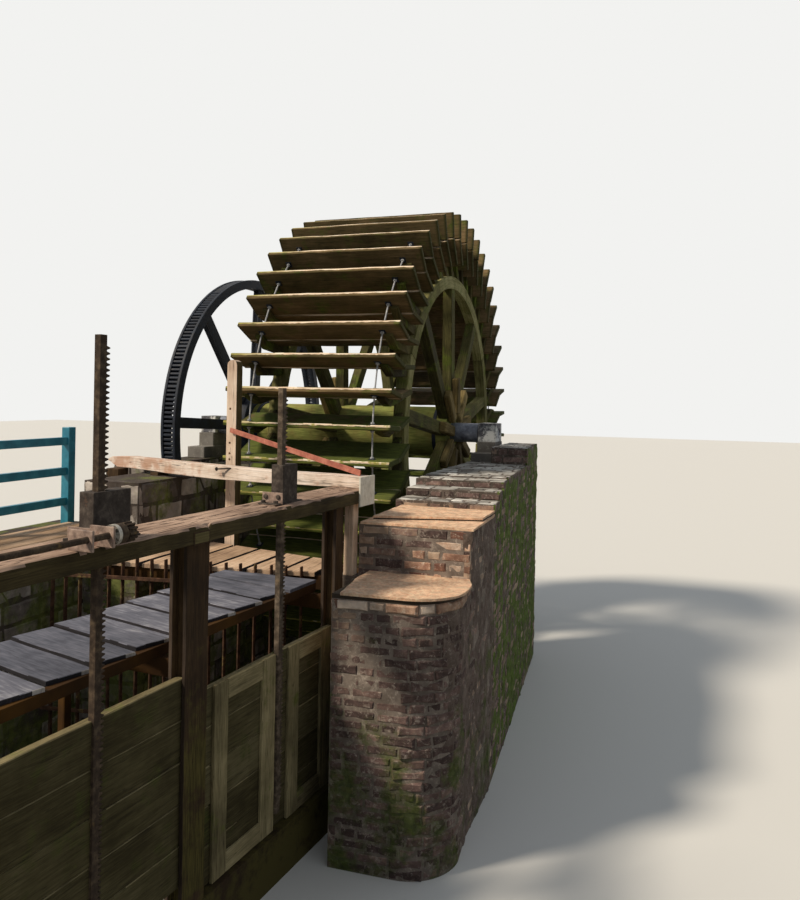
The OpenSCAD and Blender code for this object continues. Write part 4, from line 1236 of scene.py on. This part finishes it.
def slab(outline, z0, z1, inset=0.0, rough=0.0, cells=0):
    """A level slab from an outline seen from above; its top may be rough"""
    bm = bmesh.new()
    face = bm.faces.new([bm.verts.new((x, y, z0)) for x, y in outline])
    if face.normal.z < 0:
        bmesh.ops.reverse_faces(bm, faces=[face])
    if inset:
        rim = bmesh.ops.inset_region(bm, faces=[face], thickness=inset, use_even_offset=True)["faces"]
        bmesh.ops.delete(bm, geom=rim, context="FACES")
    for k in range(cells):
        for axis in (Vector((1, 0, 0)), Vector((0, 1, 0))):
            lows = [v.co.dot(axis) for v in bm.verts]
            place = min(lows) + (max(lows) - min(lows)) * (k + 1) / (cells + 1)
            bmesh.ops.bisect_plane(bm, geom=everything(bm), plane_co=axis * place, plane_no=axis, dist=1e-5)
    top = new_verts(bmesh.ops.extrude_face_region(bm, geom=bm.faces[:]))
    bmesh.ops.translate(bm, vec=(0, 0, z1 - z0), verts=top)
    for v in top:
        v.co.z -= rough * (0.5 + 0.5 * noise.noise(v.co * 9))
    bmesh.ops.recalc_face_normals(bm, faces=bm.faces)
    return finish_shape(bm, "slab")


def stacked(name, layers, *stands_for):
    """Several slabs as one piece, each with its own finish"""
    bm = bmesh.new()
    for k, (shape, _) in enumerate(layers):
        known = len(bm.faces)
        bm.from_mesh(shape)
        bm.faces.ensure_lookup_table()
        for face in bm.faces[known:]:
            face.material_index = k
    mesh = finish_shape(bm, name)
    mesh.attributes.new("tone", "FLOAT", "FACE").data.foreach_set("value", [0.55] * len(mesh.polygons))
    return as_piece(name, mesh, [material for _, material in layers], "frame", *stands_for)


# Left and right sides, the front, where the right side starts to slant, the steps, the bearing's
# block and the back.
LEFT_X, RIGHT_X, RIGHT_BACK_X, BLOCK_X = -0.130, 0.695, 0.475, 0.150
FRONT_Y, SLANT_Y, STEPS_Y, STEPS_END_Y, BLOCK_Y, BACK_Y = -3.700, -3.000, -2.900, -2.100, -0.600, 0.430
BACK_TOP, BLOCK_TOP = 2.300, 2.475


def pier_edge(y):
    """The right edge of the pier, which slants back behind the front level"""
    if y < SLANT_Y:
        return RIGHT_X
    return RIGHT_X + (RIGHT_BACK_X - RIGHT_X) * (y - SLANT_Y) / (BACK_Y - SLANT_Y)


def edge_point(y):
    """A point on the right edge of the pier"""
    return pier_edge(y), y


wall_line = [(0.690, FRONT_Y), *rounded_corner(0.722, -4.355, 0.34), (-0.045, -4.368), (-0.045, FRONT_Y)]
slab_line = [(0.690, FRONT_Y), (0.742, -3.850), *rounded_corner(0.755, -4.366, 0.33), (0.020, -4.386),
             (-0.045, -3.940), (-0.045, FRONT_Y)]
# The raked joint under the slab is painted dark as shade
stacked("cutwater_core", [(slab(wall_line, 0.0, 1.712), MORTAR),
                          (slab(wall_line, 1.712, 1.740, inset=0.025), SHADE_JOINT),
                          (slab(slab_line, 1.738, NOSE_TOP, rough=0.012, cells=18), WARM_TOP)],
        "pier_nose")
front_outline = [(LEFT_X, FRONT_Y), (RIGHT_X, FRONT_Y), (RIGHT_X, SLANT_Y), edge_point(STEPS_Y),
                 (LEFT_X, STEPS_Y)]
strip_outline = [(-0.118, -3.706), (0.712, FRONT_Y), (0.700, SLANT_Y), edge_point(STEPS_Y),
                 (-0.118, STEPS_Y)]
upper_outline = [(-0.075, -3.560), (0.110, -3.505), (0.300, -3.440), (0.690, -3.330), (0.690, SLANT_Y),
                 edge_point(STEPS_Y), (-0.075, STEPS_Y)]
ledge_outline = [(-0.260, -3.760), (LEFT_X, -3.760), (LEFT_X, -3.640), (-0.260, -3.640)]
# Under the upper layer a raked joint is painted dark as shade
stacked("front_core", [(slab(front_outline, 0.0, 2.084), MORTAR),
                       (slab(strip_outline, 2.083, STRIP_TOP, rough=0.010, cells=14), WARM_TOP),
                       (slab(upper_outline, 2.090, 2.110, inset=0.012), SHADE_JOINT),
                       (slab(upper_outline, 2.109, FRONT_TOP, rough=0.008, cells=12), WARM_TOP),
                       (slab(ledge_outline, 0.0, 1.715), MORTAR)], "pier_front")

# %% Bricks of the pier
nose_bricks = lay(wall_line, 0.0, 1.646, headers=0.45)
spots = [place.translation for _, place in nose_bricks]
tones = [0.5 * random.random() + 0.5 * (spot.z > 1.46 and spot.x < 0.16) for spot in spots]
assemble("cutwater_bricks", nose_bricks, BRICK, "frame", tones=tones)
assemble("cutwater_top_course", lay(wall_line, 1.646, 1.714, headers=0.3, proud=0.008), WARM_BRICK, "frame")
COURSE, FACE_FOOT = 0.0756, NOSE_TOP - 0.055
face = lay([(RIGHT_X, FRONT_Y), (LEFT_X, FRONT_Y)], FACE_FOOT, FACE_FOOT + 5 * COURSE)
# Tan bricks of their own colour, laid over the lower right of the face to paint the sunlit patch; the plum
# bricks above and to the left paint the diagonal cast shadow
SUNLIT_TAN_FROM = (0.22, 0.22, 0.57, 0.52, 0.44)            # where the tan bricks start, course by course
sorted_bricks = {True: [], False: []}
for brick in face:
    x, y, z = brick[1].translation
    course = min(4, int((z - NOSE_TOP + 0.055) / COURSE))
    # tan marks a brick inside the painted sunlit patch
    tan = x > SUNLIT_TAN_FROM[course] or course == 2 and (x < -0.05 or 0.24 < x < 0.40)
    sorted_bricks[tan].append(brick)
assemble("front_level_bricks", sorted_bricks[False], BRICK, "frame")
assemble("front_level_tan_bricks", sorted_bricks[True], WARM_BRICK, "frame")
pier_sides = []
for y0, y1, top in ((FRONT_Y, STEPS_Y, 2.084), (STEPS_Y, STEPS_END_Y, 2.160), (STEPS_END_Y, BACK_Y, 2.298)):
    pier_sides += lay([(LEFT_X, y0), (LEFT_X, y1)], 0.0, top)
    pier_sides += lay([edge_point(y1), edge_point(y0)], 0.0, top)
STEP, STEP_UP = 0.8 / 3, 0.2 / 3


def step_top(k):
    """The height of a step of the pier"""
    return min(2.100 + STEP_UP * (k + 1), 2.290)


treads = []
for k in range(3):
    y, top = STEPS_Y + STEP * k, step_top(k)
    pier_sides += lay([edge_point(y), (LEFT_X, y)], top - 0.0667, top - 0.004)
    treads += pave(LEFT_X, pier_edge, y, STEPS_Y + STEP * (k + 1), top)
treads += pave(LEFT_X, pier_edge, STEPS_Y + STEP * 3, BLOCK_Y, BACK_TOP)
treads += pave(LEFT_X, lambda y: BLOCK_X, BLOCK_Y, BACK_Y, BACK_TOP)
pier_sides += lay([(LEFT_X, BACK_Y), edge_point(BACK_Y)], 0.0, 2.298)
pier_sides += lay([edge_point(BLOCK_Y), (BLOCK_X, BLOCK_Y), (BLOCK_X, BACK_Y)], 2.310, 2.470)
treads += pave(BLOCK_X, pier_edge, BLOCK_Y, BACK_Y, BLOCK_TOP)
assemble("pier_bricks", pier_sides, BRICK, "frame")
assemble("tread_bricks", treads, CAP_STONE, "frame")
dress("pier_back", MORTAR)
print("pier bricks laid")

# %% [markdown]
# ## The coat on the right side
#
# The pier's right side was coated with lime mortar over its bricks. The coat has weathered to a
# rough skin that is grey at the front and mossy behind. It is a fine grid along a path, pushed in
# and out by noise and given some thickness.

# %% Lime coat
COAT_CELL, COAT_T = 0.030, 0.02                       # size of the grid's cells, thickness
NEAR_TOP = 1.708


def coat(path, z0, z1):
    """A rough skin on an upright wall along a path; its outer side is on the right"""
    total, spot = walk([Vector(p) for p in path])
    high = z1 - z0
    bm = bmesh.new()
    bmesh.ops.create_grid(bm, x_segments=max(2, round(total / COAT_CELL)),
                          y_segments=max(2, round(high / COAT_CELL)), size=0.5)
    outward = {}
    for v in bm.verts:
        u, w = v.co.x + 0.5, v.co.y + 0.5
        point, way = spot(u * total)
        out = Vector((way.y, -way.x, 0))
        wall = Vector((point.x, point.y, z0 + high * w))
        lumps = noise.fractal(Vector((wall.x * 9, wall.y * 9, wall.z * 6)), 0.8, 2.1, 6)
        edge = min(1, 8 * u * total, 14 * (1 - u) * total, 14 * w * high, 14 * (1 - w) * high)
        v.co = wall + out * (0.003 + 0.016 * lumps - 0.006 * (1 - edge))
        outward[v.co.to_tuple(5)] = out
    for v in new_verts(bmesh.ops.extrude_face_region(bm, geom=bm.faces[:])):
        v.co -= COAT_T * outward[v.co.to_tuple(5)]
    bmesh.ops.recalc_face_normals(bm, faces=bm.faces)
    return finish_shape(bm, "coat")


curve = rounded_corner(0.722, -4.355, 0.34)[5::-1]
near = [coat(curve + [(RIGHT_X, FRONT_Y), (RIGHT_X, SLANT_Y), edge_point(STEPS_Y)], 0.0, NEAR_TOP),
        coat([(0.640, -3.702), (0.697, -3.702), (0.696, SLANT_Y), edge_point(STEPS_Y)], 1.660, 2.080)]
assemble("lime_coat", [(skin, Matrix()) for skin in near], COAT, "frame", tones=[0.5, 0.5])
far = []
for k in range(3):
    y0, y1 = STEPS_Y + STEP * k, STEPS_Y + STEP * (k + 1)
    far.append(coat([edge_point(y0), edge_point(y1)], 0.0, step_top(k)))
far.append(coat([edge_point(STEPS_END_Y), edge_point(BLOCK_Y)], 0.0, BACK_TOP))
far.append(coat([edge_point(BLOCK_Y), edge_point(BACK_Y)], 0.0, BLOCK_TOP))
assemble("mossy_coat", [(skin, Matrix()) for skin in far], MOSSY_COAT, "frame", tones=[0.5] * len(far))

# %% [markdown]
# ## Walls, pedestals and bearings
#
# The walls on the left are coursed rubble, overgrown with moss. A pedestal of two dressed stones
# carries each bearing. The bearings are cast iron crusted with lime.

# %% Rubble walls, pedestals and bearings
WALLS = {"left_wall": (-2.765, -2.215, -3.430, 0.600, 2.240),        # x, y and top of each
         "gear_wall": (-3.825, -3.425, -1.700, 0.600, 2.200),
         "bank_wall": (-3.765, -2.765, -6.600, -2.600, 1.720)}
for node, (x0, x1, y0, y1, top) in WALLS.items():
    around = [(x1, y0), (x0, y0), (x0, y1), (x1, y1), (x1, y0)]
    stones = lay(around, 0.0, top - 0.004, STONES, STONE_H, proud=0.006, loose=0.006, headers=0.3)
    assemble(node + "_stones", stones, RUBBLE, "frame")
    dress(node, RUBBLE_BED)
dress("bearing_pedestals", CAP_STONE, 0.008)
dress("right_bearing", LIMED_IRON, 0.008)
dress("left_bearing", LIMED_IRON, 0.008)

# %% [markdown]
# ## Floor and light
#
# A plain pale floor and soft studio light. The main lamp is a large, soft sun from the upper
# left of the camera, as in the photograph; the world fills the shadows. Floor and backdrop are
# pale to the camera and in reflections only, so that they throw no light back on the object:
# its shaded sides stay as deep as they are in the photograph.

# %% Floor, lamps and world
def seen_directly(tree):
    """1 for what the camera or a reflection sees, 0 for the light that is thrown back"""
    rays = add(tree, "LightPath")
    return calc(tree, "MAXIMUM", rays.outputs["Is Camera Ray"], rays.outputs["Is Glossy Ray"])


bm = bmesh.new()
bmesh.ops.create_grid(bm, x_segments=1, y_segments=1, size=60)
ground = bpy.data.meshes.new("floor")
bm.to_mesh(ground)
bm.free()
floor = bpy.data.objects.new("floor", ground)
bpy.context.collection.objects.link(floor)
tree, shader, floor_paint = new_material("pale floor")
tree.links.new(layer(tree, seen_directly(tree), "6d6c62", "d9d8d4"), shader.inputs["Base Color"])
shader.inputs["Roughness"].default_value = 0.9
ground.materials.append(floor_paint)

sun = bpy.data.lights.new("key", "SUN")
sun.energy = 3.7
sun.angle = math.radians(9)
sun.color = linear("fff1dc")[:3]
key = bpy.data.objects.new("key", sun)
key.matrix_world = Vector((-0.62, -0.55, 0.72)).to_track_quat("Z", "Y").to_matrix().to_4x4()
bpy.context.collection.objects.link(key)

world = bpy.data.worlds.new("studio")
bpy.context.scene.world = world
world.use_nodes = True
world.node_tree.nodes.clear()
fill = add(world.node_tree, "Background", {"Color": "dfe6ee", "Strength": 0.42})
white = add(world.node_tree, "Background", {"Color": "f2f2f0", "Strength": 1.0})
sky = add(world.node_tree, "MixShader",
          {0: seen_directly(world.node_tree), 1: fill.outputs[0], 2: white.outputs[0]})
add(world.node_tree, "OutputWorld", {"Surface": sky.outputs[0]})
bpy.context.scene.view_settings.view_transform = "Standard"
